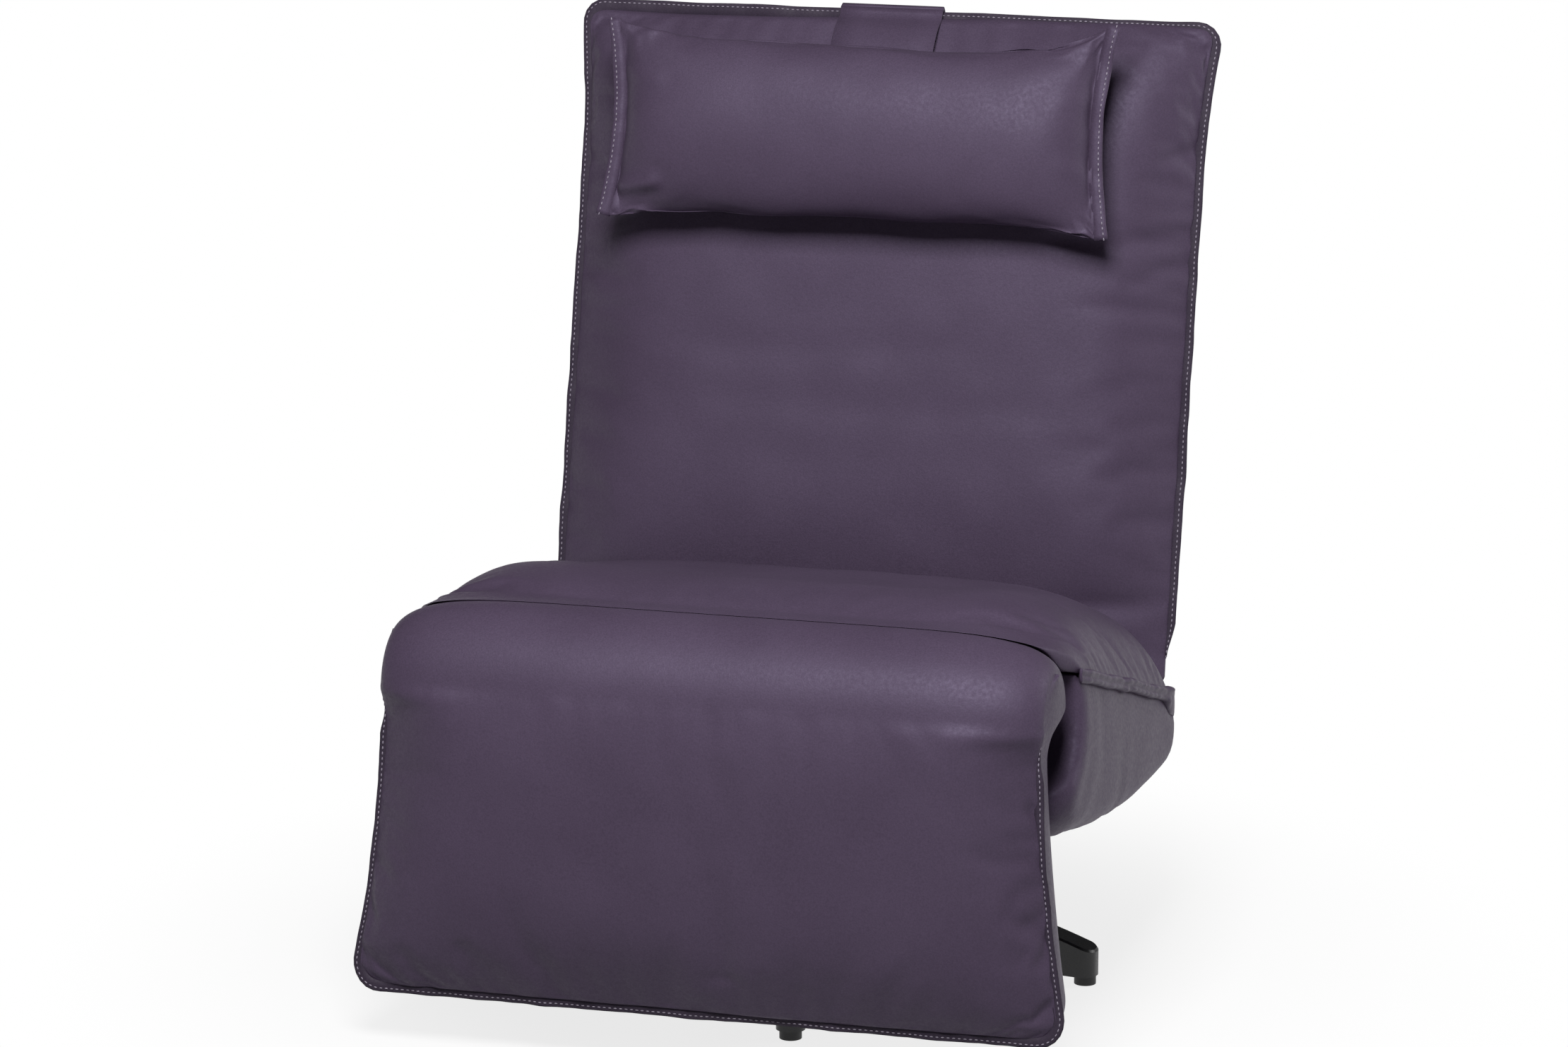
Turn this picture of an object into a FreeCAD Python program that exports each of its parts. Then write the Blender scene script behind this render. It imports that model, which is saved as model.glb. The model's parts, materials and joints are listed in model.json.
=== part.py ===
import FreeCAD, Part
import math
import os

import Sketcher

# Swivel recliner: an upholstered seat, reclining back and folding leg rest on a five-arm steel base.
# Millimetres. +X is the sitter's left, -Y the front, +Z up, and the floor is z = 0.

V = FreeCAD.Vector
X_AXIS = V(1, 0, 0)
Z_AXIS = V(0, 0, 1)

doc = FreeCAD.newDocument("swivel_recliner")
sheet = doc.addObject("Spreadsheet::Sheet", "Dims")

# Heights are above the floor. Distances named _y are from the swivel axis, forward negative.
DIMENSIONS = {
    # Swivel axis, behind the middle of the footprint
    "axis_y": 53,
    # Five-arm base
    "arm_count": 5,
    "arm_first_angle": -8.65,
    "arm_reach": 315,
    "arm_width": 30,
    "arm_inner": 20,
    "arm_heel": 262,
    "arm_root_low": 26,
    "arm_root_high": 88,
    "arm_tip_high": 38,
    "arm_top_arc": 900,
    "arm_tip_round": 13,
    "arm_edge_bevel": 2,
    "arm_wall": 4,
    "arm_hollow_end": 252,
    "arm_hollow_end_high": 52,
    "glide_ring": 302,
    "glide_r": 11.5,
    "glide_height": 9.5,
    "hub_r": 36,
    "hub_low": 22,
    "hub_high": 95,
    "hub_chamfer": 5,
    # Swivel column
    "column_r": 25,
    "column_bore": 21.05,
    "column_low": 30,
    "column_high": 190,
    "bush_low": 70,
    "bush_flange_r": 30,
    "bush_flange": 4,
    "spindle_r": 16,
    "spindle_low": 66,
    "running_gap": 0.06,
    "collar_r": 32,
    # Seat underframe
    "carrier_low": 235,
    "carrier_thick": 10,
    "carrier_width": 40,
    "carrier_y": 70,
    "swivel_plate_side": 200,
    "swivel_plate_thick": 6,
    "swivel_plate_round": 22,
    "bolt_r": 5,
    "bolt_head_r": 9,
    "bolt_head": 7,
    "cheek_x": 290,
    "cheek_thick": 8,
    "seat_tube_r": 12.5,
    "tube_wall": 2,
    "frame_leg_step": 1,
    "front_tube_y": -255,
    "front_tube_z": 368,
    "rear_tube_y": 70,
    "rear_tube_z": 266,
    "web_lift": 13.2,
    "web_thick": 2.5,
    "frame_web_thick": 2,
    "web_width": 50,
    "web_pitch": 108,
    "web_count": 5,
    # Hinges at the knee and at the foot of the back
    "knee_y": -380,
    "knee_z": 374,
    "back_y": 157,
    "back_z": 282,
    "back_lean": 13.5,
    "knee_eye_r": 22,
    "back_eye_r": 18,
    "pin_r": 7,
    "pin_head_r": 11,
    "pin_head": 5,
    "pin_nut": 4,
    "pin_nut_gap": 0.3,
    "drum_r": 20,
    "drum_inner_x": 271,
    "drum_outer_x": 285,
    "hinge_arm_thick": 6,
    "hinge_arm_width": 20,
    "neck_lean": 30,
    "knee_neck_width": 32,
    "back_neck_width": 25,
    "knee_neck_run": 85,
    "back_neck_run": 48,
    # Cheek plates between the two hinges, and their lightening holes
    "cheek_cover": 18,
    "cheek_nose": 30,
    "cheek_foot": 100,
    "hole_front_y": -195,
    "hole_front_z": 323,
    "hole_front_r": 22,
    "hole_middle_y": -55,
    "hole_middle_z": 284,
    "hole_middle_r": 18,
    "hole_rear_y": 18,
    "hole_rear_z": 272,
    "hole_rear_r": 11,
    # Seat upholstery
    "seat_half_width": 345,
    "seat_rim_y": -290,
    "seat_rim_z": 400,
    "seat_rim_fall": 0.311,
    "seat_front_y": -352,
    "seat_back_y": 160,
    "crest_front": 458,
    "crest_thigh": 464,
    "crest_middle": 443,
    "crest_hip": 408,
    "crest_back": 362,
    "seat_shoulder": 78,
    "side_pad_thick": 45,
    "side_pad_bevel": 20,
    "side_pad_rear_y": 187,
    "seat_nose_y": -354,
    "seat_floor_front_z": 236,
    "seat_floor_rear_z": 187,
    "seat_floor_rear_y": 125,
    "seat_floor_arc": 1960,
    "front_round": 52,
    "rear_round": 64,
    "panel_thick": 8,
    "column_opening_r": 45,
    "apron_half_width": 280,
    # Back upholstery, measured up the back from its hinge
    "back_half_width": 345,
    "back_ear": 11,
    "back_length": 690,
    "back_roll": 36,
    "back_crown": 57,
    "back_rear_crown": 50,
    "back_edge": 5,
    "back_edge_run": 140,
    "back_shoulder": 80,
    "back_pocket_half": 300,
    "back_pocket_top": 640,
    "pocket_front": 14,
    "pocket_rear": 12,
    # Back frame
    "back_tube_r": 11,
    "back_frame_half": 262,
    "back_frame_low": 70,
    "back_frame_top": 620,
    "back_brace_r": 8,
    "back_brace_level": 360,
    "back_web_first": 130,
    "back_web_pitch": 88,
    "back_web_count": 6,
    # Leg rest, measured down from the knee hinge
    "knee_roll": 83,
    "leg_length": 304,
    "leg_half_width": 340,
    "leg_flare": 27,
    "leg_seam": 48,
    "leg_edge": 58,
    "leg_edge_run": 120,
    "leg_shoulder": 62,
    "leg_pocket_half": 305,
    "leg_pocket_rear": 11,
    "leg_pocket_low": 285,
    "leg_panel_thick": 10,
    "leg_panel_inset": 14,
    "leg_tuck": 8,
    "leg_tube_r": 10,
    "leg_frame_half": 250,
    "leg_cross_level": 60,
    "leg_frame_low": 262,
    "leg_web_first": 108,
    "leg_web_pitch": 52,
    "leg_web_count": 3,
    "leg_web_width": 38,
    # Head pillow, its strap and its counterweight
    "pillow_x": -12,
    "pillow_half_length": 280,
    "pillow_level": 567,
    "pillow_half_height": 95,
    "pillow_end_half_height": 113,
    "pillow_half_thick": 47,
    "pillow_end_half_thick": 4,
    "pillow_gap": 4,
    "strap_x": -6,
    "strap_width": 114,
    "strap_thick": 3,
    "strap_gap": 2,
    "strap_front_run": 78,
    "pouch_width": 120,
    "pouch_height": 90,
    "pouch_thick": 22,
    "pouch_bevel": 7,
    "pouch_level": 470,
    "pouch_gap": 2,
    "bar_inset": 13,
    "bar_thick": 9,
}
for row, (name, number) in enumerate(DIMENSIONS.items(), 1):
    sheet.set(f"A{row}", name)
    sheet.set(f"B{row}", str(number))
    sheet.setAlias(f"B{row}", name)
doc.recompute()


class Size:
    """A length worked out from the sheet: its value now, and the expression that keeps it bound."""

    def __init__(self, value, text):
        self.value = value
        self.text = text

    def joined(self, sign, other, value):
        text = other.text if isinstance(other, Size) else repr(other)
        return Size(value, f"({self.text} {sign} {text})")

    def __add__(self, other):
        return self.joined("+", other, self.value + plain(other))

    def __sub__(self, other):
        return self.joined("-", other, self.value - plain(other))

    def __mul__(self, other):
        return self.joined("*", other, self.value * plain(other))

    def __neg__(self):
        return Size(-self.value, f"(-1 * {self.text})")


def plain(number):
    """The value of a Size, or the number itself."""
    return number.value if isinstance(number, Size) else float(number)


def size(name):
    """One cell of the sheet."""
    return Size(float(sheet.get(name)), f"Dims.{name}")


def now(name):
    """The present value of one cell, for the soft forms that are lofted in code."""
    return float(sheet.get(name))


def bind(piece, path, length):
    """Set a property to a Size and keep it bound to the sheet."""
    if isinstance(length, Size):
        piece.setExpression(path, length.text)


class Frame:
    """Where a group of pieces is modelled: a point in the middle plane, leaning back by an angle."""

    def __init__(self, y, z, lean=None):
        self.y = y
        self.z = z
        self.lean = lean

    def placement(self):
        lean = self.lean.value if self.lean else 0
        return FreeCAD.Placement(V(0, self.y.value, self.z.value), FreeCAD.Rotation(X_AXIS, -lean))


FLOOR = Frame(size("axis_y"), Size(0.0, "0"))
KNEE = Frame(size("axis_y") + size("knee_y"), size("knee_z"))
BACK = Frame(size("axis_y") + size("back_y"), size("back_z"), size("back_lean"))
SIDES = {"left": 1, "right": -1}
nodes = []


def place(piece, frame):
    """Put a piece in its frame and keep its place bound to the sheet."""
    piece.Placement = frame.placement()
    piece.setExpression("Placement.Base.y", frame.y.text)
    piece.setExpression("Placement.Base.z", frame.z.text)
    if frame.lean:
        piece.setExpression("Placement.Rotation.Angle", (-frame.lean).text)


def as_node(piece, label):
    """Name a piece and list it for export."""
    piece.Label = label
    nodes.append(piece)
    return piece


def new_body(label, frame):
    body = doc.addObject("PartDesign::Body", label)
    place(body, frame)
    return as_node(body, label)


def origin_plane(body, role):
    return next(feature for feature in body.Origin.OriginFeatures if feature.Role == role)


def new_sketch(body, role, offset=0):
    """A sketch on one of the body's origin planes, moved along the plane's normal."""
    sketch = body.newObject("Sketcher::SketchObject", f"{body.Label}_sketch")
    sketch.AttachmentSupport = [(origin_plane(body, role), "")]
    sketch.MapMode = "FlatFace"
    sketch.AttachmentOffset = FreeCAD.Placement(V(0, 0, plain(offset)), FreeCAD.Rotation())
    bind(sketch, "AttachmentOffset.Base.z", offset)
    return sketch


def dimension(sketch, kind, places, length):
    """A sketch dimension, bound to the sheet when its length is a Size."""
    number = sketch.addConstraint(Sketcher.Constraint(kind, *places, plain(length)))
    bind(sketch, f"Constraints[{number}]", length)


def draw_circle(sketch, x, y, radius):
    circle = sketch.addGeometry(Part.Circle(V(plain(x), plain(y), 0), Z_AXIS, plain(radius)), False)
    dimension(sketch, "DistanceX", (-1, 1, circle, 3), x)
    dimension(sketch, "DistanceY", (-1, 1, circle, 3), y)
    dimension(sketch, "Radius", (circle,), radius)


def arc_between(start, end, radius):
    """The shorter arc between two points, clockwise for a positive radius, else anticlockwise."""
    chord = end - start
    turn = math.copysign(1, radius)
    across = V(chord.y, -chord.x, 0) * (turn / chord.Length)
    rise = math.sqrt(max(radius * radius - chord.Length ** 2 / 4, 0))
    centre = (start + end) * 0.5 + across * rise
    first, last = (end, start) if turn > 0 else (start, end)
    angles = [math.atan2(point.y - centre.y, point.x - centre.x) for point in (first, last)]
    if angles[1] < angles[0]:
        angles[1] += 2 * math.pi
    return Part.ArcOfCircle(Part.Circle(centre, Z_AXIS, abs(radius)), *angles)


def draw_chain(sketch, corners):
    """A closed outline of dimensioned corners. A corner's third value is the radius of the arc after it."""
    points = [V(plain(corner[0]), plain(corner[1]), 0) for corner in corners]
    runs = []
    for i in range(len(corners)):
        start = points[i]
        end = points[(i + 1) % len(points)]
        if len(corners[i]) == 3:
            radius = corners[i][2]
            run = sketch.addGeometry(arc_between(start, end, plain(radius)), False)
            dimension(sketch, "Radius", (run,), radius if plain(radius) > 0 else -radius)
            runs.append((run, 2, 1) if plain(radius) > 0 else (run, 1, 2))
        else:
            runs.append((sketch.addGeometry(Part.LineSegment(start, end), False), 1, 2))
    for before, after in zip(runs, runs[1:] + runs[:1]):
        sketch.addConstraint(Sketcher.Constraint("Coincident", before[0], before[2], after[0], after[1]))
    for (run, start, end), corner in zip(runs, corners):
        dimension(sketch, "DistanceX", (-1, 1, run, start), corner[0])
        dimension(sketch, "DistanceY", (-1, 1, run, start), corner[1])


def pad(body, sketch, length, symmetric=True):
    feature = body.newObject("PartDesign::Pad", f"{body.Label}_pad")
    feature.Profile = sketch
    feature.SideType = "Symmetric" if symmetric else "One side"
    feature.Length = plain(length)
    bind(feature, "Length", length)
    return feature


def pocket(body, sketch):
    feature = body.newObject("PartDesign::Pocket", f"{body.Label}_pocket")
    feature.Profile = sketch
    feature.Midplane = True
    return feature


def pocket_through(body, sketch):
    """Cut a sketch right through the body, both ways from its plane."""
    pocket(body, sketch).Type = "ThroughAll"


def turned(label, frame, profile):
    """A lathe-turned piece: a profile in the XZ plane revolved about the upright axis."""
    body = new_body(label, frame)
    sketch = new_sketch(body, "XZ_Plane")
    draw_chain(sketch, profile)
    revolution = body.newObject("PartDesign::Revolution", f"{body.Label}_revolution")
    revolution.Profile = sketch
    revolution.ReferenceAxis = (sketch, ["V_Axis"])
    revolution.Angle = 360
    return body


def draw_tube(sketch, x, y, radius):
    """A tube's round section and its bore."""
    draw_circle(sketch, x, y, radius)
    draw_circle(sketch, x, y, radius - size("tube_wall"))


def cross_tube(label, frame, y, z, radius, half_length):
    """A round tube across the chair, hollow, cut square at both ends."""
    body = new_body(label, frame)
    sketch = new_sketch(body, "YZ_Plane")
    draw_tube(sketch, y, z, radius)
    pad(body, sketch, half_length * 2)
    return body


def welded_frame(label, frame, half_width, start, turn, radius):
    """A U of round tube in the XZ plane: a cross run at the turn, and two thinner legs welded to it.

    The other end of each leg is coped to sit on a cross tube at the start.
    """
    body = new_body(label, frame)
    cross_run = new_sketch(body, "YZ_Plane")
    draw_tube(cross_run, 0, turn, radius)
    pad(body, cross_run, (half_width + radius) * 2)
    legs = new_sketch(body, "XY_Plane", (start + turn) * 0.5)
    for side in SIDES.values():
        draw_tube(legs, half_width * side, 0, radius - size("frame_leg_step"))
    pad(body, legs, turn - start if plain(turn) > plain(start) else start - turn)
    rooms = new_sketch(body, "YZ_Plane")
    draw_circle(rooms, 0, turn, radius - size("tube_wall"))
    draw_circle(rooms, 0, start, radius)
    pocket_through(body, rooms)
    return body


def webbing_across(label, frame, half_width, front, first, pitch, count, width):
    """Flat elastic straps across a frame, one above another, lying on the front of its tubes."""
    body = new_body(label, frame)
    sketch = new_sketch(body, "XZ_Plane", front)
    draw_chain(
        sketch,
        [
            (-half_width, first - width * 0.5),
            (half_width, first - width * 0.5),
            (half_width, first + width * 0.5),
            (-half_width, first + width * 0.5),
        ],
    )
    strap = pad(body, sketch, size("frame_web_thick"), symmetric=False)
    repeat_along(body, strap, "Z_Axis", pitch, count)
    return body


def repeat_along(body, feature, axis, pitch, count):
    """Repeat a feature at an even pitch along one of the body's axes."""
    doc.recompute()
    pattern = body.newObject("PartDesign::LinearPattern", f"{body.Label}_pattern")
    pattern.Originals = [feature]
    pattern.Direction = (origin_plane(body, axis), [""])
    pattern.Reversed = plain(pitch) < 0
    run = pitch * (count - Size(1.0, "1"))
    pattern.Length = abs(plain(run))
    bind(pattern, "Length", run if plain(run) > 0 else -run)
    pattern.Occurrences = int(plain(count))
    bind(pattern, "Occurrences", count)
    body.Tip = pattern


def soft_form(label, frame, shape):
    """An upholstered piece, lofted from the sheet's values."""
    piece = doc.addObject("Part::Feature", label)
    piece.Shape = shape
    place(piece, frame)
    return as_node(piece, label)


# Five-arm base

arm_turns = [now("arm_first_angle") + turn * 360 / now("arm_count") for turn in range(int(now("arm_count")))]

turned(
    "base_hub",
    FLOOR,
    [
        (size("column_r"), size("hub_low")),
        (size("hub_r"), size("hub_low")),
        (size("hub_r"), size("hub_high") - size("hub_chamfer")),
        (size("hub_r") - size("hub_chamfer"), size("hub_high")),
        (size("column_r"), size("hub_high")),
    ],
)


def edges_where(shape, test):
    """Names of the edges whose middle point passes a test."""
    names = []
    for number, edge in enumerate(shape.Edges, 1):
        middle = edge.valueAt((edge.FirstParameter + edge.LastParameter) / 2)
        if test(edge, middle):
            names.append(f"Edge{number}")
    return names


def round_edges(body, test, radius):
    """Fillet the edges of the body's last feature that pass a test."""
    doc.recompute()
    last = body.Tip
    fillet = body.newObject("PartDesign::Fillet", f"{body.Label}_fillet")
    fillet.Base = (last, edges_where(last.Shape, test))
    fillet.Radius = plain(radius)
    bind(fillet, "Radius", radius)


def bevel_edges(body, test, width):
    """Chamfer the edges of the body's last feature that pass a test."""
    doc.recompute()
    last = body.Tip
    chamfer = body.newObject("PartDesign::Chamfer", f"{body.Label}_chamfer")
    chamfer.Base = (last, edges_where(last.Shape, test))
    chamfer.Size = plain(width)
    bind(chamfer, "Size", width)


def base_arm(number, turn):
    """One arm: a channel that tapers to its tip, arched on top, open below and cut to the hub."""
    arm = new_body(f"base_arm_{number}", FLOOR)
    arm.Placement.Rotation = FreeCAD.Rotation(Z_AXIS, turn)
    side = new_sketch(arm, "XZ_Plane")
    draw_chain(
        side,
        [
            (size("arm_inner"), size("arm_root_low")),
            (size("arm_inner"), size("arm_root_high"), size("arm_top_arc")),
            (size("arm_reach"), size("arm_tip_high")),
            (size("arm_reach"), size("glide_height")),
            (size("arm_heel"), size("glide_height")),
        ],
    )
    pad(arm, side, size("arm_width"))
    wall = new_sketch(arm, "XY_Plane")
    draw_circle(wall, 0, 0, size("hub_r"))
    pocket_through(arm, wall)
    reach = now("arm_reach")
    edge_y = now("arm_width") / 2
    round_edges(
        arm,
        lambda edge, middle: abs(middle.x - reach) < 0.1 and abs(abs(middle.y) - edge_y) < 0.1,
        size("arm_tip_round"),
    )
    bevel_edges(
        arm,
        lambda edge, middle: middle.z > now("arm_tip_high") - 1 and now("hub_r") + 1 < middle.x,
        size("arm_edge_bevel"),
    )
    hollow = new_sketch(arm, "XZ_Plane")
    hollow_start = size("hub_r") + size("arm_wall")
    draw_chain(
        hollow,
        [
            (hollow_start, Size(0.0, "0")),
            (hollow_start, size("arm_root_high") - size("arm_wall"), size("arm_top_arc")),
            (size("arm_hollow_end"), size("arm_hollow_end_high")),
            (size("arm_hollow_end"), Size(0.0, "0")),
        ],
    )
    channel = pocket(arm, hollow)
    channel.Length = plain(size("arm_width") - size("arm_wall") * 2)
    bind(channel, "Length", size("arm_width") - size("arm_wall") * 2)


for number, turn in enumerate(arm_turns, 1):
    base_arm(number, turn)

glides = []
for number, turn in enumerate(arm_turns, 1):
    glide = doc.addObject("Part::Cylinder", f"glide_{number}")
    bind(glide, "Radius", size("glide_r"))
    bind(glide, "Height", size("glide_height"))
    glide.Placement.Base = FreeCAD.Rotation(Z_AXIS, turn).multVec(V(now("glide_ring"), 0, 0))
    glides.append(glide)
foot_glides = doc.addObject("Part::Compound", "foot_glides")
foot_glides.Links = glides
place(foot_glides, FLOOR)
as_node(foot_glides, "foot_glides")

turned(
    "hub_bottom_cap",
    FLOOR,
    [
        (Size(0.0, "0"), size("hub_low")),
        (size("column_r"), size("hub_low")),
        (size("column_r"), size("column_low")),
        (Size(0.0, "0"), size("column_low")),
    ],
)

# Swivel column: a tube in the hub, a flanged bush in the tube, and the seat's spindle in the bush

turned(
    "column_tube",
    FLOOR,
    [
        (size("column_bore"), size("column_low")),
        (size("column_r"), size("column_low")),
        (size("column_r"), size("column_high")),
        (size("column_bore"), size("column_high")),
    ],
)
bush_bore = size("spindle_r") + size("running_gap")
bush_top = size("column_high") + size("bush_flange")
turned(
    "column_bush",
    FLOOR,
    [
        (bush_bore, size("bush_low")),
        (size("column_bore"), size("bush_low")),
        (size("column_bore"), size("column_high")),
        (size("bush_flange_r"), size("column_high")),
        (size("bush_flange_r"), bush_top),
        (bush_bore, bush_top),
    ],
)
plate_low = size("carrier_low") - size("swivel_plate_thick")
turned(
    "spindle",
    FLOOR,
    [
        (Size(0.0, "0"), size("spindle_low")),
        (size("spindle_r"), size("spindle_low")),
        (size("spindle_r"), bush_top),
        (size("collar_r"), bush_top),
        (size("collar_r"), plate_low),
        (Size(0.0, "0"), plate_low),
    ],
)

# Seat underframe

plate_half = size("swivel_plate_side") * 0.5
plate_flat = plate_half - size("swivel_plate_round")
swivel_plate = new_body("swivel_plate", FLOOR)
plate_outline = new_sketch(swivel_plate, "XY_Plane", plate_low)
draw_chain(
    plate_outline,
    [
        (-plate_half, -plate_flat),
        (-plate_half, plate_flat, size("swivel_plate_round")),
        (-plate_flat, plate_half),
        (plate_flat, plate_half, size("swivel_plate_round")),
        (plate_half, plate_flat),
        (plate_half, -plate_flat, size("swivel_plate_round")),
        (plate_flat, -plate_half),
        (-plate_flat, -plate_half, size("swivel_plate_round")),
    ],
)
for across in (-1, 1):
    for along in (-1, 1):
        draw_circle(plate_outline, size("carrier_y") * across, size("carrier_y") * along, size("bolt_r"))
pad(swivel_plate, plate_outline, size("swivel_plate_thick"), symmetric=False)

cheek_outer = size("cheek_x") + size("cheek_thick") * 0.5
cheek_inner = size("cheek_x") - size("cheek_thick") * 0.5
for name, along in (("front", -1), ("rear", 1)):
    carrier = new_body(f"seat_carrier_{name}", FLOOR)
    bar = new_sketch(carrier, "XY_Plane", size("carrier_low"))
    near = size("carrier_y") * along - size("carrier_width") * 0.5
    far = size("carrier_y") * along + size("carrier_width") * 0.5
    draw_chain(bar, [(-cheek_outer, near), (cheek_outer, near), (cheek_outer, far), (-cheek_outer, far)])
    for across in (-1, 1):
        draw_circle(bar, size("carrier_y") * across, size("carrier_y") * along, size("bolt_r"))
    pad(carrier, bar, size("carrier_thick"), symmetric=False)



def hex_bolt(base, turn, shank_r, grip, hex_r, low_hex, high_hex):
    """A bolt along its own Z from a base point: a shank for the grip, a hexagon below it and one above."""
    shank = doc.addObject("Part::Cylinder", "bolt_shank")
    bind(shank, "Radius", shank_r)
    bind(shank, "Height", grip)
    low = doc.addObject("Part::Prism", "bolt_low_hex")
    high = doc.addObject("Part::Prism", "bolt_high_hex")
    for hexagon, height in ((low, low_hex), (high, high_hex)):
        hexagon.Polygon = 6
        bind(hexagon, "Circumradius", hex_r)
        bind(hexagon, "Height", height)
    for piece, rise in ((shank, 0), (low, -plain(low_hex)), (high, plain(grip))):
        piece.Placement = FreeCAD.Placement(base + turn.multVec(V(0, 0, rise)), turn)
    bolt = doc.addObject("Part::MultiFuse", "bolt")
    bolt.Shapes = [low, shank, high]
    return bolt


# Four bolts hold the carriers to the swivel plate, heads below and nuts above
carrier_high = size("carrier_low") + size("carrier_thick")
swivel_bolts = doc.addObject("Part::Compound", "swivel_bolts")
swivel_bolts.Links = [
    hex_bolt(
        V(across * now("carrier_y"), along * now("carrier_y"), plate_low.value),
        FreeCAD.Rotation(),
        size("bolt_r"),
        size("swivel_plate_thick") + size("carrier_thick"),
        size("bolt_head_r"),
        size("bolt_head"),
        size("bolt_head"),
    )
    for across in (-1, 1)
    for along in (-1, 1)
]
place(swivel_bolts, FLOOR)
as_node(swivel_bolts, "swivel_bolts")

# The necks of a cheek slope down from the eye at each hinge to its belly
neck_turn = math.radians(now("neck_lean"))


def neck_corner(hinge, width, along, run, edge):
    """A corner of a neck, at a run from its hinge, on its upper edge (1), lower edge (-1) or middle (0)."""
    across = now(width) / 2 * edge
    shift_y = along * (run * math.cos(neck_turn) + across * math.sin(neck_turn))
    shift_z = across * math.cos(neck_turn) - run * math.sin(neck_turn)
    return size(f"{hinge}_y") + shift_y, size(f"{hinge}_z") + shift_z


def knee_neck(run, edge):
    return neck_corner("knee", "knee_neck_width", 1, run, edge)


def back_neck(run, edge):
    return neck_corner("back", "back_neck_width", -1, run, edge)


def cheek(name, side):
    """Side plate of the seat: it carries both hinges and stands on the two carriers."""
    body = new_body(f"seat_cheek_{name}", FLOOR)
    middle = size("cheek_x") * side
    outline = new_sketch(body, "YZ_Plane", middle)
    draw_chain(
        outline,
        [
            knee_neck(0, 1),
            knee_neck(now("knee_neck_run"), 1),
            (size("front_tube_y") - size("cheek_nose"), size("front_tube_z")),
            (size("front_tube_y"), size("front_tube_z") + size("cheek_cover")),
            (size("rear_tube_y"), size("rear_tube_z") + size("cheek_cover")),
            back_neck(now("back_neck_run"), 0),
            back_neck(0, 1),
            back_neck(0, -1),
            (size("cheek_foot"), carrier_high),
            (-size("cheek_foot"), carrier_high),
            knee_neck(now("knee_neck_run"), -1),
            knee_neck(0, -1),
        ],
    )
    pad(body, outline, size("cheek_thick"))
    eyes = new_sketch(body, "YZ_Plane", middle)
    draw_circle(eyes, size("knee_y"), size("knee_z"), size("knee_eye_r"))
    draw_circle(eyes, size("back_y"), size("back_z"), size("back_eye_r"))
    pad(body, eyes, size("cheek_thick"))
    holes = new_sketch(body, "YZ_Plane", middle)
    draw_circle(holes, size("knee_y"), size("knee_z"), size("pin_r"))
    draw_circle(holes, size("back_y"), size("back_z"), size("pin_r"))
    for hole in ("hole_front", "hole_middle", "hole_rear"):
        draw_circle(holes, size(f"{hole}_y"), size(f"{hole}_z"), size(f"{hole}_r"))
    pocket_through(body, holes)


for name, side in SIDES.items():
    cheek(name, side)

for name in ("front_tube", "rear_tube"):
    cross_tube(f"seat_{name}", FLOOR, size(f"{name}_y"), size(f"{name}_z"), size("seat_tube_r"), cheek_inner)

# Elastic straps from the front tube to the rear one carry the seat cushion
seat_webbing = new_body("seat_webbing", FLOOR)
web_outline = new_sketch(seat_webbing, "YZ_Plane", size("web_pitch") * -2)
front_web_z = size("front_tube_z") + size("web_lift")
rear_web_z = size("rear_tube_z") + size("web_lift")
draw_chain(
    web_outline,
    [
        (size("front_tube_y"), front_web_z),
        (size("front_tube_y"), front_web_z + size("web_thick")),
        (size("rear_tube_y"), rear_web_z + size("web_thick")),
        (size("rear_tube_y"), rear_web_z),
    ],
)
web_strap = pad(seat_webbing, web_outline, size("web_width"))
repeat_along(seat_webbing, web_strap, "X_Axis", size("web_pitch"), size("web_count"))

# Hinge pins: bolts pressed into the cheeks, headed outside, with a thin nut inside the drum


def hinge_pin(label, frame, side):
    inner = size("drum_inner_x") - size("pin_nut_gap")
    pin = hex_bolt(
        V(side * inner.value, 0, 0),
        FreeCAD.Rotation(V(0, 1, 0), 90 * side),
        size("pin_r"),
        cheek_outer - inner,
        size("pin_head_r"),
        size("pin_nut"),
        size("pin_head"),
    )
    place(pin, frame)
    as_node(pin, label)


for name, side in SIDES.items():
    hinge_pin(f"knee_pin_{name}", KNEE, side)
    hinge_pin(f"back_pin_{name}", BACK, side)


def hinge_arm(label, frame, side, reach):
    """A strap with a closed ratchet drum at its eye, which turns on the hinge pin."""
    body = new_body(label, frame)
    drum_middle = (size("drum_inner_x") + size("drum_outer_x")) * (0.5 * side)
    eye = new_sketch(body, "YZ_Plane", drum_middle)
    draw_circle(eye, 0, 0, size("drum_r"))
    draw_circle(eye, 0, 0, size("pin_r") + size("running_gap"))
    pad(body, eye, size("drum_outer_x") - size("drum_inner_x"))
    half = size("hinge_arm_width") * 0.5
    start = size("drum_r") * (0.7 if plain(reach) > 0 else -0.7)
    strap = new_sketch(body, "YZ_Plane", (size("drum_outer_x") - size("hinge_arm_thick") * 0.5) * side)
    draw_chain(strap, [(-half, start), (half, start), (half, reach), (-half, reach)])
    pad(body, strap, size("hinge_arm_thick"))


arm_inner_face = size("drum_outer_x") - size("hinge_arm_thick")

# Back frame

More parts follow.
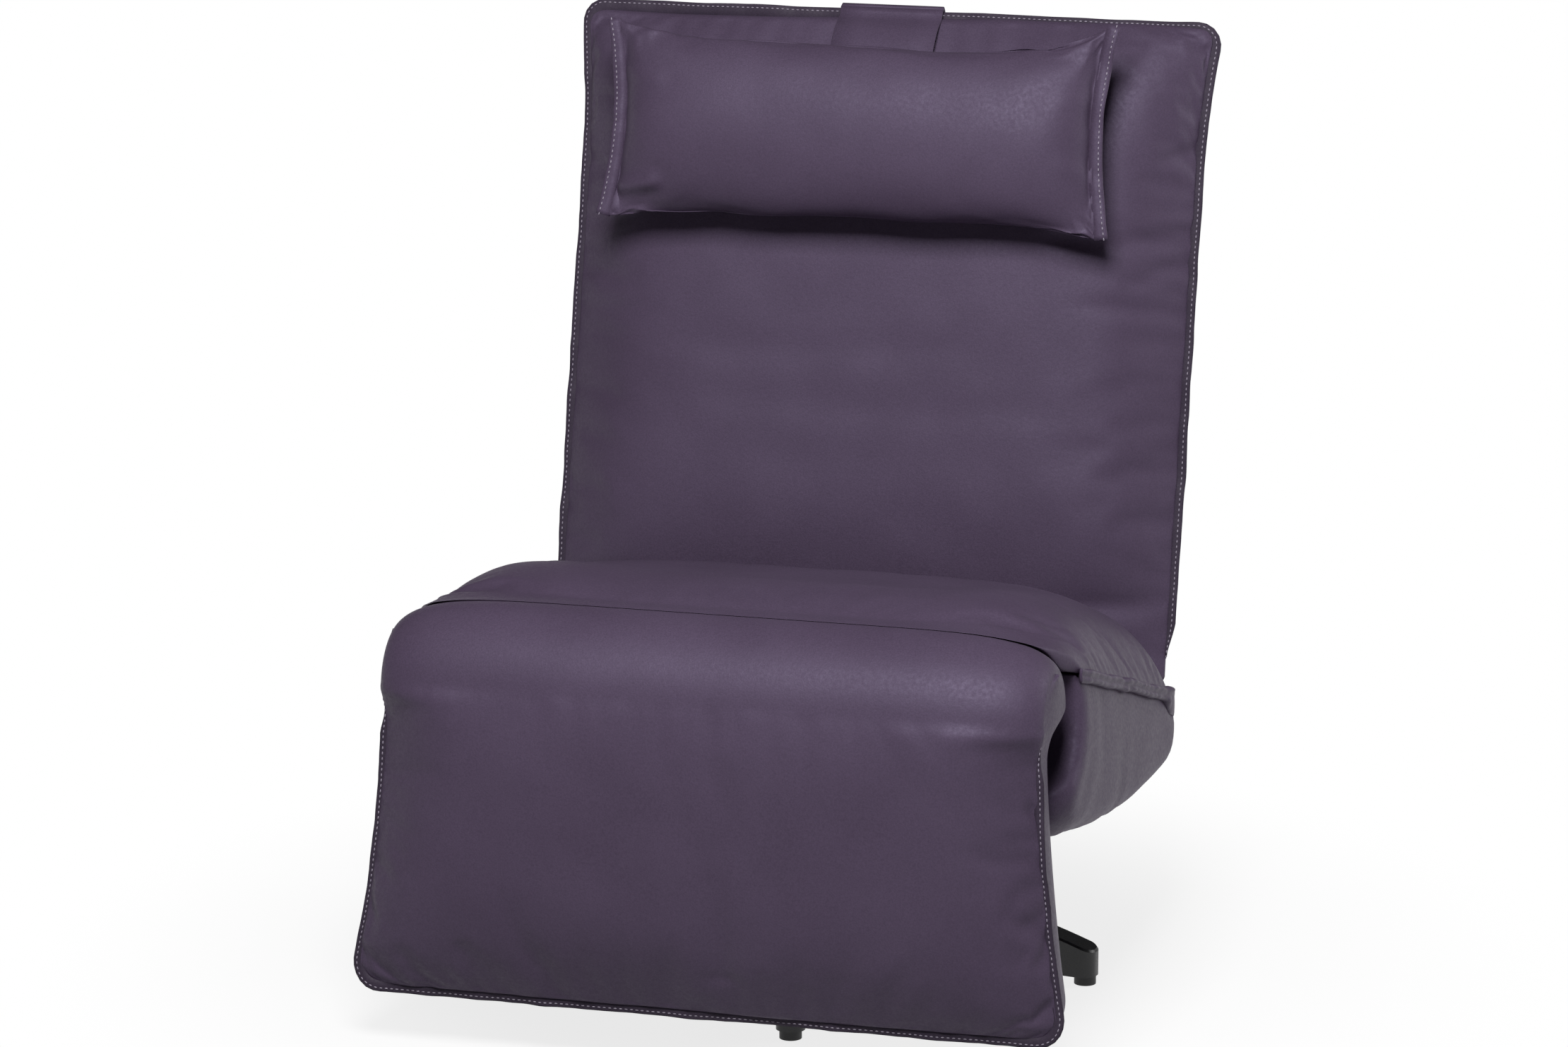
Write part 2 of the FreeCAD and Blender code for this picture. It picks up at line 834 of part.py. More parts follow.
for name, side in SIDES.items():
    hinge_arm(f"back_hinge_arm_{name}", BACK, side, size("back_frame_low") + 40)
cross_tube(
    "back_lower_tube",
    BACK,
    Size(0.0, "0"),
    size("back_frame_low"),
    size("back_tube_r"),
    arm_inner_face,
)
welded_frame(
    "back_frame",
    BACK,
    size("back_frame_half"),
    size("back_frame_low"),
    size("back_frame_top"),
    size("back_tube_r"),
)
brace = cross_tube(
    "back_brace_tube",
    BACK,
    Size(0.0, "0"),
    size("back_brace_level"),
    size("back_brace_r"),
    size("back_frame_half"),
)
brace_cope = new_sketch(brace, "XY_Plane")
back_leg_r = size("back_tube_r") - size("frame_leg_step")
draw_circle(brace_cope, size("back_frame_half"), 0, back_leg_r)
draw_circle(brace_cope, -size("back_frame_half"), 0, back_leg_r)
pocket_through(brace, brace_cope)
webbing_across(
    "back_webbing",
    BACK,
    size("back_frame_half"),
    back_leg_r,
    size("back_web_first"),
    size("back_web_pitch"),
    size("back_web_count"),
    size("web_width"),
)

# Leg rest frame

for name, side in SIDES.items():
    hinge_arm(f"legrest_hinge_arm_{name}", KNEE, side, -size("leg_cross_level") - 40)
cross_tube(
    "legrest_cross_tube",
    KNEE,
    Size(0.0, "0"),
    -size("leg_cross_level"),
    size("leg_tube_r"),
    arm_inner_face,
)
welded_frame(
    "legrest_frame",
    KNEE,
    size("leg_frame_half"),
    -size("leg_cross_level"),
    -size("leg_frame_low"),
    size("leg_tube_r"),
)
webbing_across(
    "legrest_webbing",
    KNEE,
    size("leg_frame_half"),
    size("leg_tube_r") - size("frame_leg_step"),
    -size("leg_web_first"),
    -size("leg_web_pitch"),
    size("leg_web_count"),
    size("leg_web_width"),
)

# Upholstery forms

SHOULDER_RISE = 0.88
SHOULDER_BOW = (0.30, 0.56)
ARC_CHORDS = 4


def arc_edge(start, middle, end):
    return Part.Arc(start, middle, end).toShape()


def line_edge(start, end):
    return Part.LineSegment(start, end).toShape()


def chords(start, middle, end):
    """Straight edges along an arc, which keep the facets of a soft form few."""
    points = arc_edge(start, middle, end).discretize(ARC_CHORDS + 1)
    return [line_edge(*ends) for ends in zip(points, points[1:])]


def crowned_wire(half_width, shoulder, crown, at):
    """A pad's cross-section: a flat side, a rounded shoulder at each edge and a crowned face between."""
    foot = {side: at(side * half_width, 0) for side in (-1, 1)}
    top = {side: at(side * (half_width - shoulder), SHOULDER_RISE * crown) for side in (-1, 1)}
    bow_x = half_width - SHOULDER_BOW[0] * shoulder
    bow = {side: at(side * bow_x, SHOULDER_BOW[1] * crown) for side in (-1, 1)}
    return Part.Wire(
        [
            line_edge(foot[1], foot[-1]),
            *chords(foot[-1], bow[-1], top[-1]),
            *chords(top[-1], at(0, crown), top[1]),
            *chords(top[1], bow[1], foot[1]),
        ]
    )


def swelling(run, reach):
    """How far a pad has swollen, 0 to 1, at a run from its sewn edge."""
    return 1 - (1 - min(run / reach, 1)) ** 2


def box_between(low, high):
    return Part.makeBox(high.x - low.x, high.y - low.y, high.z - low.z, low)


def both_sides(shape):
    """A shape with its mirror image across the middle plane."""
    return shape.fuse(shape.mirror(V(0, 0, 0), X_AXIS))


def across_cylinder(radius, inner_x, outer_x, y=0, z=0):
    """A cylinder along X."""
    return Part.makeCylinder(radius, outer_x - inner_x, V(inner_x, y, z), X_AXIS)


FULL_WIDTH = now("seat_half_width") * 1.3
DRUM_ROOM = 2
hinge_room_inner = now("drum_inner_x") - now("pin_nut") - DRUM_ROOM
cheek_room_inner = cheek_inner.value - DRUM_ROOM
hinge_room_outer = cheek_outer.value + now("pin_head") + DRUM_ROOM
drum_room = across_cylinder(now("knee_eye_r") + DRUM_ROOM, hinge_room_inner, hinge_room_outer)
back_drum_room = across_cylinder(now("drum_r") + DRUM_ROOM, hinge_room_inner, hinge_room_outer)


def back_crown_at(level, crown):
    """How far one half of the back stands off its middle plane at a level above the hinge."""
    foot = now("back_roll")
    edge = now("back_edge")
    from_foot = foot + (crown - foot) * swelling(level, 2 * now("back_edge_run"))
    from_top = swelling(now("back_length") - level, now("back_edge_run"))
    return edge + (from_foot - edge) * from_top


def back_half_width_at(level):
    """The back is straight-sided, and its top corners stand out like ears."""
    ear_run = now("back_length") - 1.2 * now("back_edge_run")
    rise = max(level - ear_run, 0) / (now("back_length") - ear_run)
    return now("back_half_width") + now("back_ear") * rise ** 2


BACK_STEPS = 9
SEAT_STEPS = 8
LEG_STEPS = 6
PILLOW_STEPS = 12


def ruled_form(sections):
    """A solid through cross-sections, ruled from each one to the next."""
    return Part.makeLoft(sections, True, True)


def closer_to_seam(share):
    """A share of a run, with its steps closer together towards a seam, where a pad turns in."""
    return math.sin(share * math.pi / 2)


back_levels = [now("back_length") * closer_to_seam(step / BACK_STEPS) for step in range(BACK_STEPS + 1)]


def back_half(crown, side):
    """One half of the back, in front of (-1) or behind (1) its middle plane, over a roll about the hinge."""
    sections = [
        crowned_wire(
            back_half_width_at(level),
            now("back_shoulder"),
            back_crown_at(level, crown),
            lambda x, rise, level=level: V(x, side * rise, level),
        )
        for level in back_levels
    ]
    upper = ruled_form(sections)
    roll = Part.Face(sections[0]).revolve(V(0, 0, 0), X_AXIS, -90 * side)
    return upper.fuse(roll).removeSplitter()


# Room for the frame between the two halves, for the drums, and for the cheek necks in the roll
frame_pocket = box_between(
    V(-now("back_pocket_half"), -now("pocket_front"), 0),
    V(now("back_pocket_half"), now("pocket_rear"), now("back_pocket_top")),
)
neck_slot = box_between(
    V(cheek_room_inner, -2 * now("back_roll"), -2 * now("back_roll")),
    V(hinge_room_outer, 2 * now("back_roll"), 0),
)
back_hollow = frame_pocket.fuse(both_sides(back_drum_room.fuse(neck_slot)))
front_half = back_half(now("back_crown"), -1)
rear_half = back_half(now("back_rear_crown"), 1)
soft_form("back_cushion", BACK, front_half.cut(back_hollow))
soft_form("back_rear_pad", BACK, rear_half.cut(back_hollow))

# Seat: a crowned cushion with a lip over the knee roll, cut to clear the back


def seat_rim(y):
    """Height of the welt between the cushion and the side pads."""
    return now("seat_rim_z") - now("seat_rim_fall") * (y - now("seat_rim_y"))


SEAT_ROOM = 1.5
BEHIND_SEAT = 300
BELOW_HINGE = -200
CREST_NAMES = ("crest_front", "crest_thigh", "crest_middle", "crest_hip", "crest_back")
crest_pitch = (now("seat_back_y") - now("seat_front_y")) / (len(CREST_NAMES) - 1)
crest_line = Part.BSplineCurve()
crest_line.interpolate(
    [V(0, now("seat_front_y") + step * crest_pitch, now(crest)) for step, crest in enumerate(CREST_NAMES)]
)


def seat_section(crest):
    """Cross-section of the cushion at a point of its crest line."""
    rim = seat_rim(crest.y)
    return crowned_wire(
        now("seat_half_width"),
        now("seat_shoulder"),
        crest.z - rim,
        lambda x, rise: V(x, crest.y, rim + rise),
    )


def room_for_back():
    """The space that the back takes up over the seat, straight across at its crown."""
    front = [V(0, -back_crown_at(level, now("back_crown")) - SEAT_ROOM, level) for level in back_levels]
    rear = [
        V(0, BEHIND_SEAT, back_levels[-1]),
        V(0, BEHIND_SEAT, BELOW_HINGE),
        V(0, -SEAT_ROOM, BELOW_HINGE),
        V(0, -SEAT_ROOM, 0),
    ]
    outline = Part.Face(Part.makePolygon(front + rear + front[:1]))
    outline.translate(V(-FULL_WIDTH, 0, 0))
    return outline.extrude(V(2 * FULL_WIDTH, 0, 0))


back_room = room_for_back()
back_room.Placement = FreeCAD.Placement(
    V(0, now("back_y"), now("back_z")), FreeCAD.Rotation(X_AXIS, -now("back_lean"))
)
roll_room = across_cylinder(
    now("back_roll") + SEAT_ROOM, -FULL_WIDTH, FULL_WIDTH, now("back_y"), now("back_z")
)
knee_room = across_cylinder(now("knee_roll") + 1, -FULL_WIDTH, FULL_WIDTH, now("knee_y"), now("knee_z"))
seat_sections = [seat_section(crest) for crest in crest_line.toShape().discretize(SEAT_STEPS + 1)]
seat_form = ruled_form(seat_sections).cut(back_room.fuse(roll_room)).cut(knee_room)
soft_form("seat_cushion", FLOOR, max(seat_form.Solids, key=lambda solid: solid.Volume))

# Seat side pads, floor and aprons close the underframe in

pad_middle = size("seat_half_width") - size("side_pad_thick") * 0.5


def rim_height(y):
    """The welt's height at a distance from the swivel axis, bound to the sheet."""
    return size("seat_rim_z") - size("seat_rim_fall") * (y - size("seat_rim_y"))


floor_front_y = size("seat_nose_y") + size("front_round")
floor_front = (floor_front_y, size("seat_floor_front_z"), size("front_round"))
floor_rear = (size("seat_floor_rear_y"), size("seat_floor_rear_z"), size("seat_floor_arc"))
nose_low = (size("seat_nose_y"), size("seat_floor_front_z") + size("front_round"))
tail_y = size("side_pad_rear_y")
tail = (tail_y, rim_height(tail_y), size("rear_round"))


def clear_of_hinge(body, offset, y, z, radius):
    """Cut a round room about a hinge through a piece of the seat."""
    room = new_sketch(body, "YZ_Plane", offset)
    draw_circle(room, y, z, radius)
    pocket_through(body, room)


def side_pad(name, side):
    """A padded side, from the welt down to the bevelled lower edge, cut round for the knee and back rolls."""
    body = new_body(f"seat_side_pad_{name}", FLOOR)
    middle = pad_middle * side
    outline = new_sketch(body, "YZ_Plane", middle)
    nose_high = (size("seat_nose_y"), rim_height(size("seat_nose_y")))
    draw_chain(outline, [nose_high, tail, floor_rear, floor_front, nose_low])
    pad(body, outline, size("side_pad_thick"))
    outer_x = now("seat_half_width") * side
    bevel_edges(
        body,
        lambda edge, point: abs(point.x - outer_x) < 0.1 and point.z < seat_rim(point.y) - DRUM_ROOM,
        size("side_pad_bevel"),
    )
    clear_of_hinge(body, middle, size("back_y"), size("back_z"), size("back_roll") + 2)
    clear_of_hinge(body, middle, size("knee_y"), size("knee_z"), size("knee_roll") + 2)


for name, side in SIDES.items():
    side_pad(name, side)

# A dished bottom panel, with an opening for the column, between the side pads
bottom_panel = new_body("seat_bottom_panel", FLOOR)
panel_outline = new_sketch(bottom_panel, "YZ_Plane")
panel_rise = size("panel_thick")
draw_chain(
    panel_outline,
    [
        floor_rear,
        (floor_front_y, size("seat_floor_front_z")),
        (floor_front_y, size("seat_floor_front_z") + panel_rise, -size("seat_floor_arc")),
        (size("seat_floor_rear_y"), size("seat_floor_rear_z") + panel_rise),
    ],
)
pad(bottom_panel, panel_outline, (size("seat_half_width") - size("side_pad_thick")) * 2)
opening = new_sketch(bottom_panel, "XY_Plane")
draw_circle(opening, 0, 0, size("column_opening_r"))
pocket_through(bottom_panel, opening)

front_apron = new_body("seat_front_apron", FLOOR)
apron_outline = new_sketch(front_apron, "YZ_Plane")
draw_chain(
    apron_outline,
    [
        floor_front,
        nose_low,
        (size("seat_nose_y"), size("knee_z")),
        (size("seat_nose_y") + panel_rise, size("knee_z")),
        (size("seat_nose_y") + panel_rise, nose_low[1], -(size("front_round") - panel_rise)),
        (floor_front_y, size("seat_floor_front_z") + panel_rise),
    ],
)
pad(front_apron, apron_outline, size("apron_half_width") * 2)
clear_of_hinge(front_apron, 0, size("knee_y"), size("knee_z"), size("knee_roll") + 2)

rear_apron = new_body("seat_rear_apron", FLOOR)
rear_outline = new_sketch(rear_apron, "YZ_Plane")
inner_round = size("rear_round") - panel_rise
draw_chain(
    rear_outline,
    [
        tail,
        floor_rear[:2],
        (size("seat_floor_rear_y"), size("seat_floor_rear_z") + panel_rise, -inner_round),
        (tail_y - panel_rise, tail[1]),
    ],
)
pad(rear_apron, rear_outline, size("apron_half_width") * 2)
clear_of_hinge(rear_apron, 0, size("back_y"), size("back_z"), size("back_roll") + 4)

# Leg rest: a padded slab under a knee roll, over a frame pocket closed by a rear panel


def leg_half_width_at(drop):
    """The leg rest flares towards its foot."""
    return now("leg_half_width") + now("leg_flare") * (drop / now("leg_length")) ** 1.6


def leg_wire(drop, rear):
    """Cross-section of the leg rest at a drop below the knee: seam at each edge, crowned front, flat rear."""
    half = leg_half_width_at(drop)
    seam = now("leg_seam")
    edge = now("leg_edge")
    front = edge + (now("knee_roll") - edge) * swelling(now("leg_length") - drop, now("leg_edge_run"))
    shoulder_x = half - now("leg_shoulder")
    shoulder_y = seam + SHOULDER_RISE * (front - seam)
    bow_x = half - SHOULDER_BOW[0] * now("leg_shoulder")
    bow_y = seam + SHOULDER_BOW[1] * (front - seam)
    tuck = half - now("leg_tuck")

    def at(x, forward):
        return V(x, -forward, -drop)

    return Part.Wire(
        [
            line_edge(at(tuck, -rear), at(-tuck, -rear)),
            line_edge(at(-tuck, -rear), at(-half, seam)),
            *chords(at(-half, seam), at(-bow_x, bow_y), at(-shoulder_x, shoulder_y)),
            *chords(at(-shoulder_x, shoulder_y), at(0, front), at(shoulder_x, shoulder_y)),
            *chords(at(shoulder_x, shoulder_y), at(bow_x, bow_y), at(half, seam)),
            line_edge(at(half, seam), at(tuck, -rear)),
        ]
    )


leg_drops = [now("leg_length") * closer_to_seam(step / LEG_STEPS) for step in range(LEG_STEPS + 1)]
slab = ruled_form([leg_wire(drop, now("leg_pocket_rear")) for drop in leg_drops])
knee_roll = Part.Face(leg_wire(0, 0)).revolve(V(0, 0, 0), X_AXIS, -180)
leg_pocket = box_between(
    V(-now("leg_pocket_half"), -now("pocket_front"), -now("leg_pocket_low")),
    V(now("leg_pocket_half"), now("leg_pocket_rear") + 1, 0),
)

# The necks of the cheeks sweep through the knee roll as the leg rest lifts
LEG_LIFT = 85
NECK_ROOM = 1.5
sweep_start = -now("neck_lean")
roll_reach = now("knee_roll") + 30


def neck_bar(turn):
    """A neck's bar of room, turned about the knee."""
    half = now("knee_neck_width") / 2 + NECK_ROOM
    bar = box_between(V(cheek_room_inner, 0, -half), V(hinge_room_outer, roll_reach, half))
    bar.rotate(V(0, 0, 0), X_AXIS, turn)
    return bar


# A sector of room between the two bars, turned so that its middle is midway through the lift
swept = Part.makeCylinder(
    roll_reach, hinge_room_outer - cheek_room_inner, V(cheek_room_inner, 0, 0), X_AXIS, LEG_LIFT
)
sweep_zero = swept.CenterOfMass
swept.rotate(
    V(0, 0, 0),
    X_AXIS,
    sweep_start + LEG_LIFT / 2 - math.degrees(math.atan2(sweep_zero.z, sweep_zero.y)),
)
neck_room = swept.fuse([neck_bar(sweep_start), neck_bar(sweep_start + LEG_LIFT), drum_room])
neck_rooms = both_sides(neck_room)
leg_form = slab.fuse(knee_roll).removeSplitter().cut(leg_pocket).cut(neck_rooms)
soft_form("legrest_cushion", KNEE, leg_form)


def leg_panel():
    """The flat upholstered panel behind the leg rest's frame."""
    near = now("leg_pocket_rear")
    inset = now("leg_panel_inset")
    top = inset / 2
    low = now("leg_length") - inset / 2
    corners = [(leg_half_width_at(drop) - inset, -drop) for drop in (top, 0.5 * now("leg_length"), low)]
    right = [V(x, near, z) for x, z in corners]
    left = [V(-x, near, z) for x, z in corners]
    wire = Part.Wire(
        [
            line_edge(left[0], right[0]),
            arc_edge(*right),
            line_edge(right[2], left[2]),
            arc_edge(left[2], left[1], left[0]),
        ]
    )
    return Part.Face(wire).extrude(V(0, now("leg_panel_thick"), 0))


soft_form("legrest_rear_panel", KNEE, leg_panel().cut(neck_rooms))

# Head pillow: a stuffed tube, sewn flat at both ends, in front of the back


def pillow_wire(x, half_height, half_thick):
    """An oval section of the pillow, along four arcs."""
    middle = now("back_crown") + now("pillow_gap") + now("pillow_half_thick")
    belly = 0.69

    def at(forward, up):
        return V(now("pillow_x") + x, -middle - forward * half_thick, now("pillow_level") + up * half_height)

    return Part.Wire(
        [
            *chords(at(0, 1), at(belly, belly), at(1, 0)),
            *chords(at(1, 0), at(belly, -belly), at(0, -1)),
            *chords(at(0, -1), at(-belly, -belly), at(-1, 0)),
            *chords(at(-1, 0), at(-belly, belly), at(0, 1)),
        ]
    )


def pillow_section(share):
    """The section at a share of the half length: full in the middle, flat and taller at the sewn ends."""
    swell = math.sqrt(max(1 - abs(share) ** 5, 0))
    tall = now("pillow_end_half_height")
    flat = now("pillow_end_half_thick")
    half_height = tall + (now("pillow_half_height") - tall) * swell
    half_thick = flat + (now("pillow_half_thick") - flat) * swell
    return pillow_wire(share * now("pillow_half_length"), half_height, half_thick)


pillow_shares = [closer_to_seam(2 * step / PILLOW_STEPS - 1) for step in range(PILLOW_STEPS + 1)]
soft_form("head_pillow", BACK, ruled_form([pillow_section(share) for share in pillow_shares]))

# Pillow strap over the top of the back, in three stretches, with a weight in a pouch behind


def stand_at(form, level):
    """How far a half of the back stands off its middle plane, at its crown, at a level above the hinge."""
    reach = 2 * now("back_crown")
    inside = line_edge(V(0, -reach, level), V(0, reach, level)).common(form)
    return max(abs(point.Y) for point in inside.Vertexes)


def strap_band(form, side, runs):
    """A band that follows one half of the back, between two runs from its top edge."""
    high, low = (now("back_length") - run for run in runs)
    levels = [high] + [level for level in reversed(back_levels) if low < level < high] + [low]

    def face_line(off):
        """Points along one face of the band, off the back's crown."""
        x = now("strap_x") - now("strap_width") / 2
        return [V(x, side * (stand_at(form, level) + now("strap_gap") + off), level) for level in levels]

    inner = face_line(0)
    outer = face_line(now("strap_thick"))
    wire = Part.makePolygon(inner + outer[::-1] + inner[:1])
    return Part.Face(wire).extrude(V(now("strap_width"), 0, 0))


STRAP_TOP_RUN = 6
strap_front_runs = (STRAP_TOP_RUN, now("strap_front_run"))
strap_rear_runs = (STRAP_TOP_RUN, now("back_length") - now("pouch_level") - now("pouch_height"))
soft_form("pillow_strap_front", BACK, strap_band(front_half, -1, strap_front_runs))
soft_form("pillow_strap_rear", BACK, strap_band(rear_half, 1, strap_rear_runs))


def strap_over_top():
    """The stretch that bends over the back's top seam."""
    gap = now("strap_gap")
    thick = now("strap_thick")
    low = now("back_length") - STRAP_TOP_RUN
    high = now("back_length") + gap / 2
    front = stand_at(front_half, low) + gap
    rear = stand_at(rear_half, low) + gap
    edge = now("back_edge") + gap / 2
    x = now("strap_x") - now("strap_width") / 2
    inner = [V(x, -front, low), V(x, -edge, high), V(x, edge, high), V(x, rear, low)]
    outer = [
        V(x, rear + thick, low),
        V(x, edge + thick / 2, high + thick),
        V(x, -edge - thick / 2, high + thick),
        V(x, -front - thick, low),
    ]
    wire = Part.makePolygon(inner + outer + inner[:1])
    return Part.Face(wire).extrude(V(now("strap_width"), 0, 0))


soft_form("pillow_strap_top", BACK, strap_over_top())

pouch_near = size("back_rear_crown") + size("pouch_gap")
pouch_block = doc.addObject("Part::Box", "pouch_block")
bind(pouch_block, "Length", size("pouch_width"))
bind(pouch_block, "Width", size("pouch_thick"))
bind(pouch_block, "Height", size("pouch_height"))
bind(pouch_block, "Placement.Base.x", size("strap_x") - size("pouch_width") * 0.5)
bind(pouch_block, "Placement.Base.y", pouch_near)
bind(pouch_block, "Placement.Base.z", size("pouch_level"))
doc.recompute()
pouch_skin = doc.addObject("Part::Chamfer", "pouch_skin")
pouch_skin.Base = pouch_block
pouch_skin.Edges = [(number, now("pouch_bevel"), now("pouch_bevel")) for number in range(1, 13)]


def weight_block(name):
    """The counterweight's block, which the pouch is sewn around."""
    block = doc.addObject("Part::Box", name)
    bind(block, "Length", size("pouch_width") - size("bar_inset") * 2)
    bind(block, "Width", size("bar_thick"))
    bind(block, "Height", size("pouch_height") - size("bar_inset") * 2)
    bind(block, "Placement.Base.x", size("strap_x") - size("pouch_width") * 0.5 + size("bar_inset"))
    bind(block, "Placement.Base.y", pouch_near + (size("pouch_thick") - size("bar_thick")) * 0.5)
    bind(block, "Placement.Base.z", size("pouch_level") + size("bar_inset"))
    return block


pouch = doc.addObject("Part::Cut", "counterweight_pouch")
pouch.Base = pouch_skin
pouch.Tool = weight_block("pouch_room")
place(pouch, BACK)
as_node(pouch, "counterweight_pouch")
counterweight = doc.addObject("Part::Compound", "counterweight_bar")
counterweight.Links = [weight_block("bar_block")]
place(counterweight, BACK)
as_node(counterweight, "counterweight_bar")

# Check every piece, then write its file

doc.recompute()
for piece in doc.Objects:
    if {"Invalid", "Error"} & set(piece.State):
        raise RuntimeError(f"{piece.Label} failed: {piece.State}")
for piece in nodes:
    if piece.Shape.isNull() or not piece.Shape.isValid() or not piece.Shape.Solids:
        raise RuntimeError(f"{piece.Label} has no sound solid")
os.makedirs("parts", exist_ok=True)
for piece in nodes:
    piece.Shape.exportStep(f"parts/{piece.Label}.step")
    print(f"{piece.Label}: {len(piece.Shape.Solids)} solid(s), {piece.Shape.Volume / 1000:.0f} cm3")
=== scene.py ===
import json
import math

import bmesh
import bpy
import numpy as np
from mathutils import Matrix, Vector, noise


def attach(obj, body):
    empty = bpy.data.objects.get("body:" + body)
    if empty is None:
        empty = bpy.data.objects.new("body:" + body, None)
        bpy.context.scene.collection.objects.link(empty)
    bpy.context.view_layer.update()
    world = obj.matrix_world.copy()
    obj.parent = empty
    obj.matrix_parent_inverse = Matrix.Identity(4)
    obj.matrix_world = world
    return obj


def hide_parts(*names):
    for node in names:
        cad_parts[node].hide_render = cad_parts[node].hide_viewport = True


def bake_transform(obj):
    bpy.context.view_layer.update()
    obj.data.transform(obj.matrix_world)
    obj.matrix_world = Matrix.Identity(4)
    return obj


# Swivel recliner: a crowned seat, a leaning back, a leg rest that folds up and a head pillow, on a star base.
# Metres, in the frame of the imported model: +X is to the right in the photograph, -Y the front and +Z up.

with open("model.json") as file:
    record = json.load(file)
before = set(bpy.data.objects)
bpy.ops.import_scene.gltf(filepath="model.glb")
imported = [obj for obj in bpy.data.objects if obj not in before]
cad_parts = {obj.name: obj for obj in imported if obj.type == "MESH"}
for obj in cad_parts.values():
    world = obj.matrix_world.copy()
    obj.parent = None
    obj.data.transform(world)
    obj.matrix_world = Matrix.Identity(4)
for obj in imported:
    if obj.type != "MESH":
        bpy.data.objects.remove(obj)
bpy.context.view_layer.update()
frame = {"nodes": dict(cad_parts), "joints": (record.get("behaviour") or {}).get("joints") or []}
nodes = frame["nodes"]
joint_at = {joint["name"]: Vector(joint["pos_m"]) for joint in frame["joints"] if "pos_m" in joint}

# Base, column and glides
# Five pressed steel arms are welded to a turned hub and powder coated black, with moulded glides under their
# tips. The column tube is pressed into the hub, and a plastic bush in it carries the seat's spindle.


def add_node(tree, kind, inputs=None, **settings):
    """A node with its settings and the values of its inputs."""
    node = tree.nodes.new(kind)
    for name, value in settings.items():
        setattr(node, name, value)
    for name, value in (inputs or {}).items():
        node.inputs[name].default_value = value
    return node


def new_group(name, inputs, outputs):
    """An empty shader group with named number inputs and outputs."""
    tree = bpy.data.node_groups.new(name, "ShaderNodeTree")
    for label in inputs:
        tree.interface.new_socket(label, in_out="INPUT", socket_type="NodeSocketFloat")
    for label in outputs:
        tree.interface.new_socket(label, in_out="OUTPUT", socket_type="NodeSocketFloat")
    return tree, tree.nodes.new("NodeGroupInput"), tree.nodes.new("NodeGroupOutput")


def make_mottle():
    """Soft cloudy patches: a mask between two levels, and a height."""
    tree, given, result = new_group("mottle", ("Scale", "Low", "High"), ("Mask", "Height"))
    place = add_node(tree, "ShaderNodeTexCoord")
    cloud = add_node(tree, "ShaderNodeTexNoise", {"Detail": 4.0, "Roughness": 0.55})
    spread = add_node(tree, "ShaderNodeMapRange", {"From Min": 0.35, "From Max": 0.65})
    tree.links.new(place.outputs["Object"], cloud.inputs["Vector"])
    tree.links.new(given.outputs["Scale"], cloud.inputs["Scale"])
    tree.links.new(cloud.outputs["Fac"], spread.inputs["Value"])
    tree.links.new(given.outputs["Low"], spread.inputs["To Min"])
    tree.links.new(given.outputs["High"], spread.inputs["To Max"])
    tree.links.new(spread.outputs["Result"], result.inputs["Mask"])
    tree.links.new(cloud.outputs["Fac"], result.inputs["Height"])
    return tree


mottle = make_mottle()


def use_group(tree, group, **values):
    """A shader group placed in a material, with its own values."""
    node = add_node(tree, "ShaderNodeGroup", node_tree=group)
    for name, value in values.items():
        node.inputs[name].default_value = value
    return node


def new_finish(name, dark, light, patch_scale, rough_low, rough_high, bump_scale, bump_depth):
    """A finish whose colour and roughness drift between two levels, with a fine surface texture."""
    material = bpy.data.materials.new(name)
    material.use_nodes = True
    tree = material.node_tree
    shader = tree.nodes["Principled BSDF"]
    patches = use_group(tree, mottle, Scale=patch_scale, Low=0.0, High=1.0)
    tones = add_node(tree, "ShaderNodeMix", data_type="RGBA")
    tones.inputs["A"].default_value = (*dark, 1)
    tones.inputs["B"].default_value = (*light, 1)
    grain = use_group(tree, mottle, Scale=bump_scale, Low=rough_low, High=rough_high)
    bump = add_node(tree, "ShaderNodeBump", {"Strength": 0.6, "Distance": bump_depth})
    tree.links.new(patches.outputs["Mask"], tones.inputs["Factor"])
    tree.links.new(tones.outputs["Result"], shader.inputs["Base Color"])
    tree.links.new(grain.outputs["Mask"], shader.inputs["Roughness"])
    tree.links.new(grain.outputs["Height"], bump.inputs["Height"])
    tree.links.new(bump.outputs["Normal"], shader.inputs["Normal"])
    return material, shader


def dress(names, material):
    """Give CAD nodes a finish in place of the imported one."""
    for name in names:
        for place in nodes[name].material_slots:
            place.material = material


black_paint = new_finish(
    "black_paint", (0.010, 0.010, 0.011), (0.022, 0.022, 0.024), 9.0, 0.30, 0.48, 700.0, 0.0002
)[0]
black_plastic = new_finish(
    "black_plastic", (0.012, 0.012, 0.013), (0.020, 0.020, 0.021), 14.0, 0.45, 0.62, 1500.0, 0.0001
)[0]
dress(["base_hub", "column_tube"] + [f"base_arm_{count}" for count in range(1, 6)], black_paint)
dress(["foot_glides", "hub_bottom_cap", "column_bush"], black_plastic)

# Swivel, seat frame and hinges
# A spindle with a plate turns in the bush and carries two bars; cheek plates, tubes and pins make the frame
# that the seat, the back and the leg rest hang on. The plates are painted, the pins, bolts and spindle bare.

